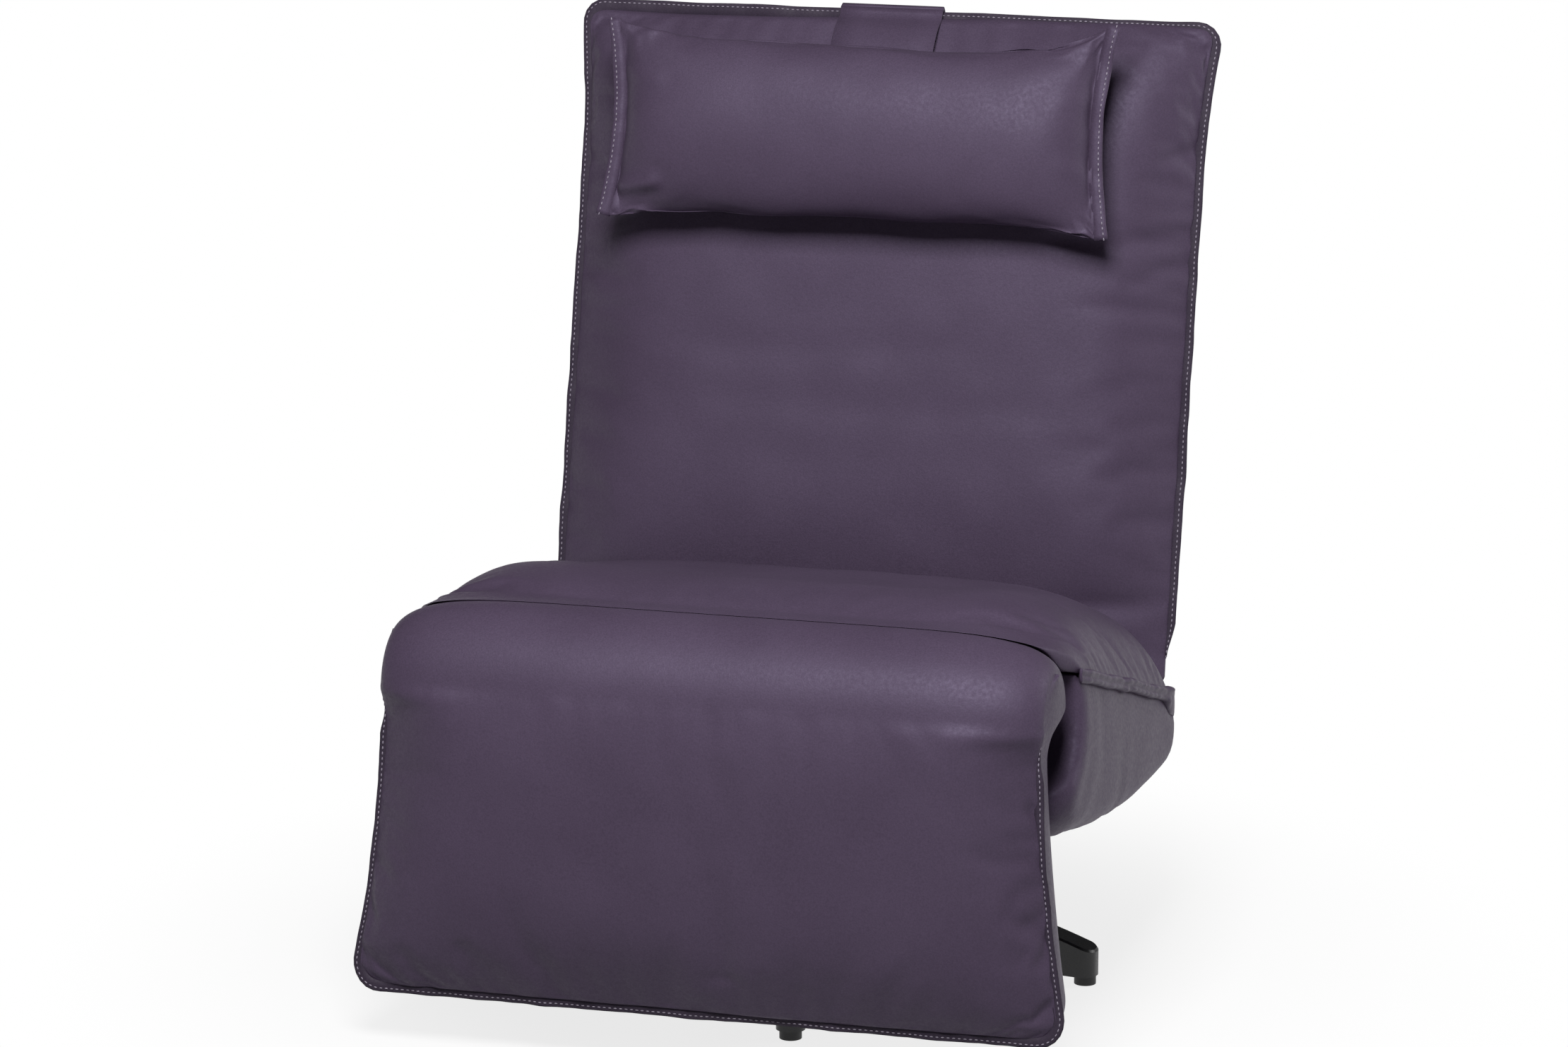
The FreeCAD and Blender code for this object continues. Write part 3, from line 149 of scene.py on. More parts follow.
bare_steel, steel_shader = new_finish(
    "bare_steel", (0.42, 0.42, 0.43), (0.56, 0.56, 0.57), 30.0, 0.24, 0.42, 900.0, 0.00005
)
steel_shader.inputs["Metallic"].default_value = 1.0
dress(["spindle", "swivel_bolts"], bare_steel)
dress(["swivel_plate", "seat_carrier_front", "seat_carrier_rear"], black_paint)
dress(["seat_front_tube", "seat_rear_tube", "back_lower_tube", "back_brace_tube"], black_paint)
dress(["back_frame", "legrest_cross_tube", "legrest_frame"], black_paint)
for side in ("left", "right"):
    dress([f"knee_pin_{side}", f"back_pin_{side}"], bare_steel)
    dress([f"seat_cheek_{side}", f"back_hinge_arm_{side}", f"legrest_hinge_arm_{side}"], black_paint)

# Elastic webbing
# Woven straps are stretched over the tubes under the seat, the back and the leg rest, and carry the padding.


def make_weave():
    """Over and under threads on the two ways of a cloth: a mask between two levels, and a height."""
    tree, given, result = new_group("weave", ("Thread pitch", "Low", "High"), ("Mask", "Height"))
    place = add_node(tree, "ShaderNodeTexCoord")
    apart = add_node(tree, "ShaderNodeSeparateXYZ")
    length = add_node(tree, "ShaderNodeMath", operation="ADD")
    turn = add_node(tree, "ShaderNodeMath", operation="DIVIDE")
    turn.inputs[0].default_value = 2 * math.pi
    tree.links.new(place.outputs["Object"], apart.inputs[0])
    tree.links.new(apart.outputs["Y"], length.inputs[0])
    tree.links.new(apart.outputs["Z"], length.inputs[1])
    tree.links.new(given.outputs["Thread pitch"], turn.inputs[1])
    cross = add_node(tree, "ShaderNodeMath", operation="MULTIPLY")
    for way, source in enumerate((apart.outputs["X"], length.outputs[0])):
        phase = add_node(tree, "ShaderNodeMath", operation="MULTIPLY")
        thread = add_node(tree, "ShaderNodeMath", operation="SINE")
        tree.links.new(source, phase.inputs[0])
        tree.links.new(turn.outputs[0], phase.inputs[1])
        tree.links.new(phase.outputs[0], thread.inputs[0])
        tree.links.new(thread.outputs[0], cross.inputs[way])
    spread = add_node(tree, "ShaderNodeMapRange", {"From Min": -1.0, "From Max": 1.0})
    tree.links.new(cross.outputs[0], spread.inputs["Value"])
    tree.links.new(given.outputs["Low"], spread.inputs["To Min"])
    tree.links.new(given.outputs["High"], spread.inputs["To Max"])
    tree.links.new(spread.outputs["Result"], result.inputs["Mask"])
    tree.links.new(cross.outputs[0], result.inputs["Height"])
    return tree


weave = make_weave()


def new_cloth(name, dark, light, patch_scale, thread_group, thread_values, thread_depth, roughness):
    """A cloth: drifting colour, and threads or a grain that shade and lift the surface."""
    material = bpy.data.materials.new(name)
    material.use_nodes = True
    tree = material.node_tree
    shader = tree.nodes["Principled BSDF"]
    patches = use_group(tree, mottle, Scale=patch_scale, Low=0.0, High=1.0)
    tones = add_node(tree, "ShaderNodeMix", data_type="RGBA")
    tones.inputs["A"].default_value = (*dark, 1)
    tones.inputs["B"].default_value = (*light, 1)
    threads = use_group(tree, thread_group, **thread_values)
    shaded = add_node(tree, "ShaderNodeVectorMath", operation="SCALE")
    pile = use_group(tree, mottle, Scale=260.0, Low=roughness - 0.06, High=roughness + 0.06)
    fine = add_node(tree, "ShaderNodeBump", {"Strength": 0.5, "Distance": thread_depth})
    soft = add_node(tree, "ShaderNodeBump", {"Strength": 0.35, "Distance": 0.0005})
    tree.links.new(patches.outputs["Mask"], tones.inputs["Factor"])
    tree.links.new(tones.outputs["Result"], shaded.inputs[0])
    tree.links.new(threads.outputs["Mask"], shaded.inputs["Scale"])
    tree.links.new(shaded.outputs[0], shader.inputs["Base Color"])
    tree.links.new(pile.outputs["Mask"], shader.inputs["Roughness"])
    tree.links.new(pile.outputs["Height"], soft.inputs["Height"])
    tree.links.new(soft.outputs["Normal"], fine.inputs["Normal"])
    tree.links.new(threads.outputs["Height"], fine.inputs["Height"])
    tree.links.new(fine.outputs["Normal"], shader.inputs["Normal"])
    return material, shader


webbing_cloth = new_cloth(
    "webbing_cloth",
    (0.030, 0.029, 0.032),
    (0.050, 0.048, 0.052),
    30.0,
    weave,
    {"Thread pitch": 0.0030, "Low": 0.80, "High": 1.12},
    0.0004,
    0.75,
)[0]
dress(["seat_webbing", "back_webbing", "legrest_webbing"], webbing_cloth)
dress(["counterweight_bar"], bare_steel)

# Seat tub
# The lower cover of the seat, from the welt down: a cloth skin over foam on the two cheeks, the aprons and
# the bottom, sewn together at the corners and drawn in underneath, with a round opening for the column.

cover_grain = {"Scale": 650.0, "Low": 0.88, "High": 1.12}
cover_grain_depth = 0.00025
aubergine, aubergine_shader = new_cloth(
    "aubergine_cover",
    (0.066, 0.046, 0.079),
    (0.075, 0.053, 0.090),
    9.0,
    mottle,
    cover_grain,
    cover_grain_depth,
    0.56,
)
aubergine_shader.inputs["Specular IOR Level"].default_value = 0.36
aubergine_shader.inputs["Specular Tint"].default_value = (0.80, 0.72, 1.0, 1)
aubergine_shader.inputs["Sheen Weight"].default_value = 0.02
aubergine_shader.inputs["Sheen Roughness"].default_value = 0.35
aubergine_shader.inputs["Sheen Tint"].default_value = (0.95, 0.90, 0.93, 1)

scene = bpy.context.scene
swivel_y = joint_at["swivel"].y
knee = joint_at["legrest_lift"]
seat_half = 0.345
rim_middle_z = 0.400
rim_middle_y = -0.290
rim_slope = -0.311


def rim_height(y):
    """Height of the seam between the seat's top cover and the tub; y is taken from the swivel axis."""
    return rim_middle_z + rim_slope * (y - rim_middle_y)


def new_piece(name, mesh):
    """An object for a mesh, at the origin, in the scene."""
    piece = bpy.data.objects.new(name, mesh)
    scene.collection.objects.link(piece)
    return piece


def settle(piece):
    """The piece's mesh with its modifiers applied."""
    graph = bpy.context.evaluated_depsgraph_get()
    mesh = bpy.data.meshes.new_from_object(piece.evaluated_get(graph))
    piece.modifiers.clear()
    piece.data = mesh
    return piece


def points_of(piece):
    flat = np.empty(len(piece.data.vertices) * 3)
    piece.data.vertices.foreach_get("co", flat)
    return flat.reshape(-1, 3)


def normals_of(piece):
    flat = np.empty(len(piece.data.vertices) * 3, np.float32)
    piece.data.vertex_normals.foreach_get("vector", flat)
    return flat.reshape(-1, 3).astype(float)


def move_points(piece, points):
    piece.data.vertices.foreach_set("co", np.ascontiguousarray(points, np.float32).ravel())
    piece.data.update()


def cloud_at(points, size, seed):
    """Smooth noise from -1 to 1 at each point, with lumps of about the given size."""
    shift = Vector((seed * 7.3, seed * 3.1, seed * 5.7))
    return np.array([noise.noise(Vector(point) / size + shift) for point in points])


def fused_copy(name, node_names, voxel, smoothing):
    """One skin over copies of CAD pieces that touch, evenly meshed and smoothed."""
    joined = bmesh.new()
    for node_name in node_names:
        joined.from_mesh(nodes[node_name].data)
    bmesh.ops.remove_doubles(joined, verts=joined.verts, dist=1e-6)
    mesh = bpy.data.meshes.new(name)
    joined.to_mesh(mesh)
    joined.free()
    piece = new_piece(name, mesh)
    even = piece.modifiers.new("even", "REMESH")
    even.mode = "VOXEL"
    even.voxel_size = voxel
    smooth = piece.modifiers.new("smooth", "SMOOTH")
    smooth.iterations = smoothing
    smooth.factor = 0.5
    return settle(piece)


def finish_piece(piece, material, body, subdivide=0):
    """Smooth shading, the material, a subdivision if asked, and the body that it rides on."""
    piece.data.shade_smooth()
    piece.data.materials.clear()
    piece.data.materials.append(material)
    if subdivide:
        finer = piece.modifiers.new("finer", "SUBSURF")
        finer.levels = subdivide
        finer.render_levels = subdivide
    if body:
        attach(piece, body)


tub_nodes = [
    "seat_side_pad_left", "seat_side_pad_right", "seat_bottom_panel", "seat_front_apron", "seat_rear_apron"
]
tub_depth = 0.17
tub = fused_copy("seat_tub", tub_nodes, 0.006, 14)


def gather_tub(piece):
    """Gathers that sweep down and forward over the sides, with a bulge under the welt."""
    points = points_of(piece)
    normals = normals_of(piece)
    y = points[:, 1] - swivel_y
    depth = np.clip((rim_height(y) - points[:, 2]) / tub_depth, 0, 1)
    outer = np.clip((np.abs(points[:, 0]) - 0.300) / 0.03, 0, 1)
    outer *= np.clip(np.abs(normals[:, 0]) * 1.5, 0, 1) * (points[:, 0] * normals[:, 0] > 0)
    sweep = (y + 0.45 * depth**1.4 * tub_depth) / 0.085
    drift = cloud_at(points * (0.2, 1, 0.6), 0.11, 2)
    fold = np.sin(2 * math.pi * sweep + 4.5 * drift)
    strength = np.clip(0.5 + 1.2 * cloud_at(points, 0.12, 3), 0, 1)
    swell = 0.0075 * np.sin(math.pi * np.clip(depth * 1.05, 0, 1)) ** 0.8
    lift = outer * (swell + 0.0012 * fold * strength * (0.35 + depth) * (1.1 - 0.5 * depth))
    points += normals * lift[:, None]
    move_points(piece, points)


gather_tub(tub)
finish_piece(tub, aubergine, "seat")
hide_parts(*tub_nodes)

# Leg rest
# A stuffed cloth case on the leg rest's tube frame: a thick roll at the knee, a pad below it, and a flat
# panel behind. Its front and back are sewn together along the sides and the foot in a stitched flange.

flange_width = 0.0085
flange_thick = 0.0034
flange_taper = 0.035
stitch_inset = 0.0040
stitch_lift = 0.0003
seam_step = 0.006
roll_radius = 0.083
roll_end_radius = 0.048
leg_length = 0.309
leg_half = 0.340
leg_spread = 0.032
leg_drift = -0.006
leg_seam_forward = 0.048
leg_edge_run = 0.120
leg_corner = 0.026
leg_panel_behind = 0.021
leg_shoulder_power = 8.0
leg_shoulder_root = 0.574
leg_roll_share = 0.30
slim = 0.90


def swelling(run, reach):
    """From 0 at an edge to 1 at the given distance from it, as a stuffed cover rises."""
    return 1 - (1 - np.clip(run / reach, 0, 1)) ** 2


def shoulder(share, power, root):
    """Height of a cover over its half width, from 1 in the middle to 0 at the seam."""
    return np.clip(1 - np.abs(share) ** power, 0, 1) ** root


def even_share(u):
    """Columns set closer together towards the seams, where the cover turns."""
    return np.sin(0.5 * math.pi * u)


def box_skin(name, place, across, along, deep):
    """A closed cover: the six faces of a box, each point (u, v, w) put where place() says and doubles merged.

    u runs from -1 to 1 across, v from 0 to 1 along and w from 0 to 1 from the front cover to the rear one.
    """
    index = {}
    faces = []

    def corner(i, j, k):
        return index.setdefault((i, j, k), len(index))

    for i in range(across):
        for j in range(along):
            for k in (0, deep):
                faces.append([
                    corner(i, j, k), corner(i + 1, j, k), corner(i + 1, j + 1, k), corner(i, j + 1, k)
                ])
        for k in range(deep):
            for j in (0, along):
                faces.append([
                    corner(i, j, k), corner(i + 1, j, k), corner(i + 1, j, k + 1), corner(i, j, k + 1)
                ])
    for j in range(along):
        for k in range(deep):
            for i in (0, across):
                faces.append([
                    corner(i, j, k), corner(i, j + 1, k), corner(i, j + 1, k + 1), corner(i, j, k + 1)
                ])
    share = np.array(list(index)) / (across, along, deep)
    u, v, w = share[:, 0] * 2 - 1, share[:, 1], share[:, 2]
    mesh = bpy.data.meshes.new(name)
    mesh.from_pydata(place(u, v, w).tolist(), [], faces)
    where = mesh.attributes.new("where", "FLOAT_VECTOR", "POINT")
    where.data.foreach_set("vector", np.stack([u, v, w], -1).astype(np.float32).ravel())
    cover = bmesh.new()
    cover.from_mesh(mesh)
    bmesh.ops.remove_doubles(cover, verts=cover.verts, dist=2e-5)
    bmesh.ops.dissolve_degenerate(cover, edges=cover.edges, dist=1e-6)
    bmesh.ops.recalc_face_normals(cover, faces=cover.faces)
    cover.to_mesh(mesh)
    cover.free()
    return new_piece(name, mesh)


def where_on(piece):
    """The (u, v, w) of each point of a cover."""
    flat = np.empty(len(piece.data.vertices) * 3, np.float32)
    piece.data.attributes["where"].data.foreach_get("vector", flat)
    return flat.reshape(-1, 3).astype(float).T


cloth_steps = 20


def stuff(piece, sewn, pressure, most, slack):
    """Swell a cover by its stuffing's pressure: sewn points are held, and none moves past the most."""
    start = points_of(piece)
    held = piece.vertex_groups.new(name="sewn")
    held.add([int(index) for index in np.flatnonzero(sewn)], 1.0, "REPLACE")
    cloth = piece.modifiers.new("stuffing", "CLOTH")
    cloth.settings.vertex_group_mass = "sewn"
    cloth.settings.use_pressure = True
    cloth.settings.uniform_pressure_force = pressure
    cloth.settings.shrink_min = -slack
    cloth.settings.bending_stiffness = 0.4
    cloth.settings.effector_weights.gravity = 0
    cloth.collision_settings.use_collision = False
    for step in range(1, cloth_steps + 1):
        scene.frame_set(step)
    graph = bpy.context.evaluated_depsgraph_get()
    swollen = points_of(piece.evaluated_get(graph))
    shift = swollen - start
    length = np.linalg.norm(shift, axis=1)
    capped = most * np.tanh(length / most) / np.maximum(length, 1e-9)
    piece.modifiers.clear()
    piece.vertex_groups.clear()
    move_points(piece, start + shift * capped[:, None])
    scene.frame_set(1)


def ruffle(piece, size, amount, seed, where=1.0):
    """Small unevenness of a hand-stuffed cover, along its normals."""
    points = points_of(piece)
    lift = amount * cloud_at(points, size, seed) * where
    move_points(piece, points + normals_of(piece) * lift[:, None])


def press_folds(piece, flat, part, folds):
    """Press creases into a cover, each with a soft swell on both sides.

    flat gives each point's place on the laid-out cover, part is 1 where the folds act, and a fold is its
    path, its depth and its width.
    """
    points = points_of(piece)
    lift = np.zeros(len(points))
    for path, depth, width in folds:
        nearest = np.full(len(points), 1e9)
        for start, end in zip(path[:-1], path[1:]):
            start, run = np.array(start), np.array(end) - np.array(start)
            share = np.clip(((flat - start) @ run) / (run @ run), 0, 1)
            nearest = np.minimum(nearest, np.linalg.norm(flat - start - share[:, None] * run, axis=1))
        wide = (nearest / width) ** 2
        lift -= depth * (1 - 1.3 * wide) * np.exp(-wide)
    move_points(piece, points + normals_of(piece) * (lift * part)[:, None])


def at_knee(x, forward, drop):
    """Points of the leg rest, from the knee hinge: forward of it and below it."""
    return np.stack(np.broadcast_arrays(x, knee.y - forward, knee.z - drop), -1)


def leg_half_at(drop):
    """Half width of the leg rest up to its seam, which spreads to the foot and has rounded corners there."""
    spread = leg_half + leg_spread * np.clip(drop / leg_length, 0, 1) ** 1.6
    into = np.clip(drop - (leg_length - leg_corner), 0, leg_corner)
    flange = flange_width * np.clip((drop + 0.01) / 0.04, 0, 1)
    return spread - flange - (leg_corner - np.sqrt(leg_corner**2 - into**2))


def leg_middle_at(drop):
    """The leg rest's middle line, which drifts to one side towards the foot."""
    return leg_drift * np.clip(drop / leg_length, 0, 1) ** 1.3


def leg_front_at(drop):
    """How far the pad's front stands before the seam plane."""
    return 0.002 + (roll_radius - leg_seam_forward - 0.002) * swelling(leg_length - drop, leg_edge_run) ** 0.6


def roll_radius_at(share):
    return roll_end_radius + (roll_radius - roll_end_radius) * shoulder(
        share, leg_shoulder_power, leg_shoulder_root
    )


def place_leg_rest(u, v, w):
    share = even_share(u)
    rise = shoulder(share, leg_shoulder_power, leg_shoulder_root)
    pad = v < 1 - leg_roll_share
    drop = np.where(pad, leg_length * (1 - np.clip(v / (1 - leg_roll_share), 0, 1) ** 1.5), 0)
    turn = np.where(pad, 0, (v - 1 + leg_roll_share) / leg_roll_share * 0.5 * math.pi)
    radius = roll_radius_at(share)
    front = np.where(pad, leg_seam_forward + slim * leg_front_at(drop) * rise, radius * np.cos(turn))
    step = np.clip((0.045 - drop) / 0.045, 0, 1)
    behind = leg_panel_behind + (radius - leg_panel_behind) * step**2 * pad
    rear = np.where(pad, -behind, -radius * np.cos(turn))
    low = np.where(pad, drop, -radius * np.sin(turn))
    forward = front + (rear - front) * w
    side_inset = 1 - 0.022 * w * pad
    foot_inset = 0.006 * w * np.clip((drop - 0.25) / (leg_length - 0.25), 0, 1)
    dome = 0.004 * np.sign(u) * 4 * w * (1 - w) * (np.abs(u) > 0.999)
    x = leg_middle_at(drop) + share * leg_half_at(drop) * side_inset + dome
    return at_knee(x, forward, low - foot_inset)


leg_rest = box_skin("leg_rest_cover", place_leg_rest, 84, 60, 9)
leg_u, leg_v, leg_w = where_on(leg_rest)
leg_sewn = (leg_w > 0.05) | (np.abs(leg_u) > 0.955) | (leg_v < 0.030) | (leg_v > 1.03 - leg_roll_share)
stuff(leg_rest, leg_sewn, pressure=5.0, most=0.016, slack=0.02)
leg_points = points_of(leg_rest)
leg_flat = np.stack([leg_points[:, 0], knee.z - leg_points[:, 2]], -1)
leg_front_part = (leg_w < 0.02) * np.clip((0.74 - leg_v) / 0.05, 0, 1)
press_folds(leg_rest, leg_flat, leg_front_part, [
    (((-0.247, 0.255), (-0.236, 0.300)), 0.0035, 0.010),
    (((-0.312, 0.270), (-0.292, 0.302)), 0.0025, 0.012),
    (((0.348, 0.205), (0.312, 0.179)), 0.0025, 0.010),
    (((0.342, 0.098), (0.326, 0.070)), 0.0030, 0.007),
    (((0.342, 0.130), (0.318, 0.118)), 0.0018, 0.007),
    (((0.350, 0.024), (0.345, 0.000), (0.337, -0.042)), 0.0080, 0.006),
    (((-0.350, 0.024), (-0.345, 0.000), (-0.337, -0.042)), 0.0060, 0.006),
    (((-0.346, 0.150), (-0.310, 0.158)), 0.0018, 0.008),
    (((0.10, 0.304), (0.105, 0.274)), 0.0015, 0.010),
])
ruffle(leg_rest, 0.055, 0.0012, 4, where=leg_front_part)
finish_piece(leg_rest, aubergine, "legrest", subdivide=1)
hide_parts("legrest_cushion", "legrest_rear_panel")

# Leg rest flange and stitching
# Front and rear cover end in a flat flange round the sides and the foot, folded in and topstitched by machine
# with a grey-lilac thread, a few millimetres in from the edge.


def skin(name, rings):
    """A mesh through rings of points, with flat ends."""
    count, around = rings.shape[:2]
    faces = []
    for i in range(count - 1):
        for j in range(around):
            after = (j + 1) % around
            faces.append([i * around + j, i * around + after, (i + 1) * around + after, (i + 1) * around + j])
    faces.append(list(range(around)))
    faces.append(list(range((count - 1) * around, count * around)))
    mesh = bpy.data.meshes.new(name)
    mesh.from_pydata(rings.reshape(-1, 3).tolist(), [], faces)
    cover = bmesh.new()
    cover.from_mesh(mesh)
    bmesh.ops.recalc_face_normals(cover, faces=cover.faces)
    cover.to_mesh(mesh)
    cover.free()
    return new_piece(name, mesh)


def even_path(points, step):
    """Points at an even step along a line."""
    points = np.array(points, float)
    lengths = np.concatenate([[0], np.cumsum(np.linalg.norm(np.diff(points, axis=0), axis=1))])
    count = max(2, int(round(lengths[-1] / step)))
    marks = np.linspace(0, lengths[-1], count + 1)
    return np.stack([np.interp(marks, lengths, points[:, axis]) for axis in range(3)], -1)


def unit(vectors):
    return vectors / np.maximum(np.linalg.norm(vectors, axis=-1, keepdims=True), 1e-9)


def flange_rings(path, facing, width, thick, ripple, seed, taper=0.0, root=0.35):
    """Rings of a flat flange along a seam, and the line of its stitches on the side that faces out.

    root is how far the flange reaches into the cover, as a share of its width.
    """
    along = unit(np.gradient(path, axis=0))
    outward = unit(np.cross(facing, along))
    wave = ripple * cloud_at(path, 0.045, seed) + 0.5 * ripple * cloud_at(path, 0.016, seed + 1)
    edge = width * (1 + 0.12 * cloud_at(path, 0.05, seed + 2))
    if taper:
        step = np.linalg.norm(path[1] - path[0])
        count = np.arange(len(path))
        edge *= np.clip(np.minimum(count, count[::-1]) * step / taper, 0.1, 1)
    middle = path + facing * (0.35 * wave)[:, None]
    outline = ((-root, 0.5), (0.3, 0.5), (0.72, 0.5), (0.97, 0.34), (1.0, 0.0), (0.97, -0.34), (0.72, -0.5),
               (0.3, -0.5), (-root, -0.5))
    rings = [
        middle + outward * (edge * out)[:, None] + facing * (wave * max(out, 0) + thick * up)[:, None]
        for out, up in outline
    ]
    stitch_out = 1 - stitch_inset / width
    lift = wave * stitch_out + 0.5 * thick + stitch_lift
    line = middle + outward * (edge * stitch_out)[:, None] + facing * lift[:, None]
    return np.stack(rings, 1), line


def make_stitch_row():
    """Geometry nodes for a row of stitches along a curve: a short thread loop at every pitch."""
    tree = bpy.data.node_groups.new("stitch_row", "GeometryNodeTree")
    tree.interface.new_socket("Geometry", in_out="INPUT", socket_type="NodeSocketGeometry")
    for label in ("Pitch", "Stitch length", "Thread width"):
        tree.interface.new_socket(label, in_out="INPUT", socket_type="NodeSocketFloat")
    tree.interface.new_socket("Thread", in_out="INPUT", socket_type="NodeSocketMaterial")
    tree.interface.new_socket("Geometry", in_out="OUTPUT", socket_type="NodeSocketGeometry")
    given = tree.nodes.new("NodeGroupInput")
    result = tree.nodes.new("NodeGroupOutput")
    spaced = add_node(tree, "GeometryNodeResampleCurve", mode="LENGTH")
    tangent = add_node(tree, "GeometryNodeInputTangent")
    turned = add_node(tree, "FunctionNodeAlignRotationToVector", axis="X")
    bead = add_node(tree, "GeometryNodeMeshUVSphere", {"Segments": 6, "Rings": 4, "Radius": 0.5})
    size = add_node(tree, "ShaderNodeCombineXYZ")
    copies = add_node(tree, "GeometryNodeInstanceOnPoints")
    real = add_node(tree, "GeometryNodeRealizeInstances")
    smooth = add_node(tree, "GeometryNodeSetShadeSmooth")
    finish = add_node(tree, "GeometryNodeSetMaterial")
    link = tree.links.new
    link(given.outputs["Geometry"], spaced.inputs["Curve"])
    link(given.outputs["Pitch"], spaced.inputs["Length"])
    link(tangent.outputs["Tangent"], turned.inputs["Vector"])
    link(given.outputs["Stitch length"], size.inputs["X"])
    link(given.outputs["Thread width"], size.inputs["Y"])
    link(given.outputs["Thread width"], size.inputs["Z"])
    link(spaced.outputs["Curve"], copies.inputs["Points"])
    link(bead.outputs["Mesh"], copies.inputs["Instance"])
    link(turned.outputs["Rotation"], copies.inputs["Rotation"])
    link(size.outputs["Vector"], copies.inputs["Scale"])
    link(copies.outputs["Instances"], real.inputs["Geometry"])
    link(real.outputs["Geometry"], smooth.inputs["Geometry"])
    link(smooth.outputs["Geometry"], finish.inputs["Geometry"])
    link(given.outputs["Thread"], finish.inputs["Material"])
    link(finish.outputs["Geometry"], result.inputs["Geometry"])
    return tree


stitch_row = make_stitch_row()
lilac_thread = new_finish(
    "lilac_thread", (0.250, 0.215, 0.280), (0.330, 0.290, 0.360), 220.0, 0.55, 0.75, 2400.0, 0.0001
)[0]


def sew(name, lines, body):
    """Stitches along lines, as one plain mesh that rides on a body."""
    curve = bpy.data.curves.new(name, "CURVE")
    curve.dimensions = "3D"
    for line in lines:
        spline = curve.splines.new("POLY")
        spline.points.add(len(line) - 1)
        spline.points.foreach_set("co", np.column_stack([line, np.ones(len(line))]).ravel())
    seam = new_piece(name + "_line", curve)
    row = seam.modifiers.new("stitches", "NODES")
    row.node_group = stitch_row
    values = {"Pitch": 0.0056, "Stitch length": 0.0038, "Thread width": 0.0014, "Thread": lilac_thread}
    for item in stitch_row.interface.items_tree:
        if item.in_out == "INPUT" and item.name in values:
            row[item.identifier] = values[item.name]
    graph = bpy.context.evaluated_depsgraph_get()
    mesh = bpy.data.meshes.new_from_object(seam.evaluated_get(graph))
    bpy.data.objects.remove(seam)
    stitches = new_piece(name, mesh)
    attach(stitches, body)


def leg_seam_path():
    """The line of the leg rest's seam: down one side, along the foot and up the other side."""
    drops = np.concatenate([
        np.linspace(0.012, leg_length - leg_corner, 40),
        leg_length - leg_corner + leg_corner * np.sin(np.linspace(0.05, 0.5 * math.pi, 12)),
    ])
    right = np.stack([leg_half_at(drops), drops], -1)
    left = np.stack([-right[::-1, 0], right[::-1, 1]], -1)
    line = np.concatenate([right, left])
    hollow = 0.004 * np.sin(math.pi * np.clip(line[:, 1] / leg_length, 0, 1))
    x = line[:, 0] - np.sign(line[:, 0]) * hollow + leg_middle_at(line[:, 1])
    return even_path(at_knee(x, leg_seam_forward, line[:, 1]), seam_step)


# Painted shade: the flanges are the same cloth as the cover, given darker colours here to stand in for the
# shade along the seams.
painted_shade_flange_cloth, painted_shade_flange_shader = new_cloth(
    "painted_shade_flange_cloth",
    (0.036, 0.026, 0.044),
    (0.046, 0.034, 0.055),
    9.0,
    mottle,
    cover_grain,
    cover_grain_depth,
    0.62,
)
painted_shade_flange_shader.inputs["Specular IOR Level"].default_value = 0.20
forward_facing = np.array([0.0, -1.0, 0.0])
leg_rings, leg_stitch_line = flange_rings(
    leg_seam_path(), forward_facing, flange_width, flange_thick, ripple=0.0028, seed=11, taper=flange_taper
)
leg_flange = skin("leg_rest_flange", leg_rings)
# Painted shade: the leg rest's flange takes the darker copy of the cover cloth.
finish_piece(leg_flange, painted_shade_flange_cloth, "legrest")
sew("leg_rest_stitches", [leg_stitch_line], "legrest")

# Seat cushion
# A crowned top cover over foam on the webbing, sunk a little in the middle: it rolls over to the welt at both
# sides, and its front edge is a thin lip that lies on the knee roll, so the roll turns under it.

crest_heights = (0.459, 0.466, 0.437, 0.402, 0.360)
crest_front_y = -0.352
crest_back_y = 0.160
seat_front_y = -0.369
seat_tail_y = 0.122
seat_shoulder_power = 6.0
seat_shoulder_root = 0.557
seat_sag = 0.020
seat_corner_start = 0.84
seat_corner_recess = 0.078
lip_thick = 0.0022


def curve_through(values, share):
    """A smooth curve through evenly spaced values; share runs from 0 at the first to 1 at the last."""
    ends = np.concatenate([[2 * values[0] - values[1]], values, [2 * values[-1] - values[-2]]])
    place = np.clip(share, 0, 1) * (len(values) - 1)
    first = np.minimum(place.astype(int), len(values) - 2)
    t = place - first
    before, start, end, after = (ends[first + step] for step in range(4))
    return 0.5 * (
        2 * start + (end - before) * t + (2 * before - 5 * start + 4 * end - after) * t**2
        + (3 * start - before - 3 * end + after) * t**3
    )


def crest_height(y):
    return curve_through(np.array(crest_heights), (y - crest_front_y) / (crest_back_y - crest_front_y))


def sag_at(share, y):
    """How far the middle of the seat has sunk below its sides, from use."""
    middle = 1 - np.clip((np.abs(share) - 0.35) / 0.45, 0, 1) ** 2
    return seat_sag * middle * np.sin(math.pi * np.clip((y - crest_front_y) / 0.38, 0, 1)) ** 0.8


def over_roll(share, y, run):
    """Height of the knee roll under the seat's lip at a run from its edge, or 0 where the roll has ended."""
    radius = roll_radius_at(share) + 0.0003 + 0.0012 * np.clip(run / 0.02, 0, 1)
    reach = radius**2 - (y + swivel_y - knee.y) ** 2
    return np.where(reach > 0, knee.z + np.sqrt(np.maximum(reach, 0)), 0)


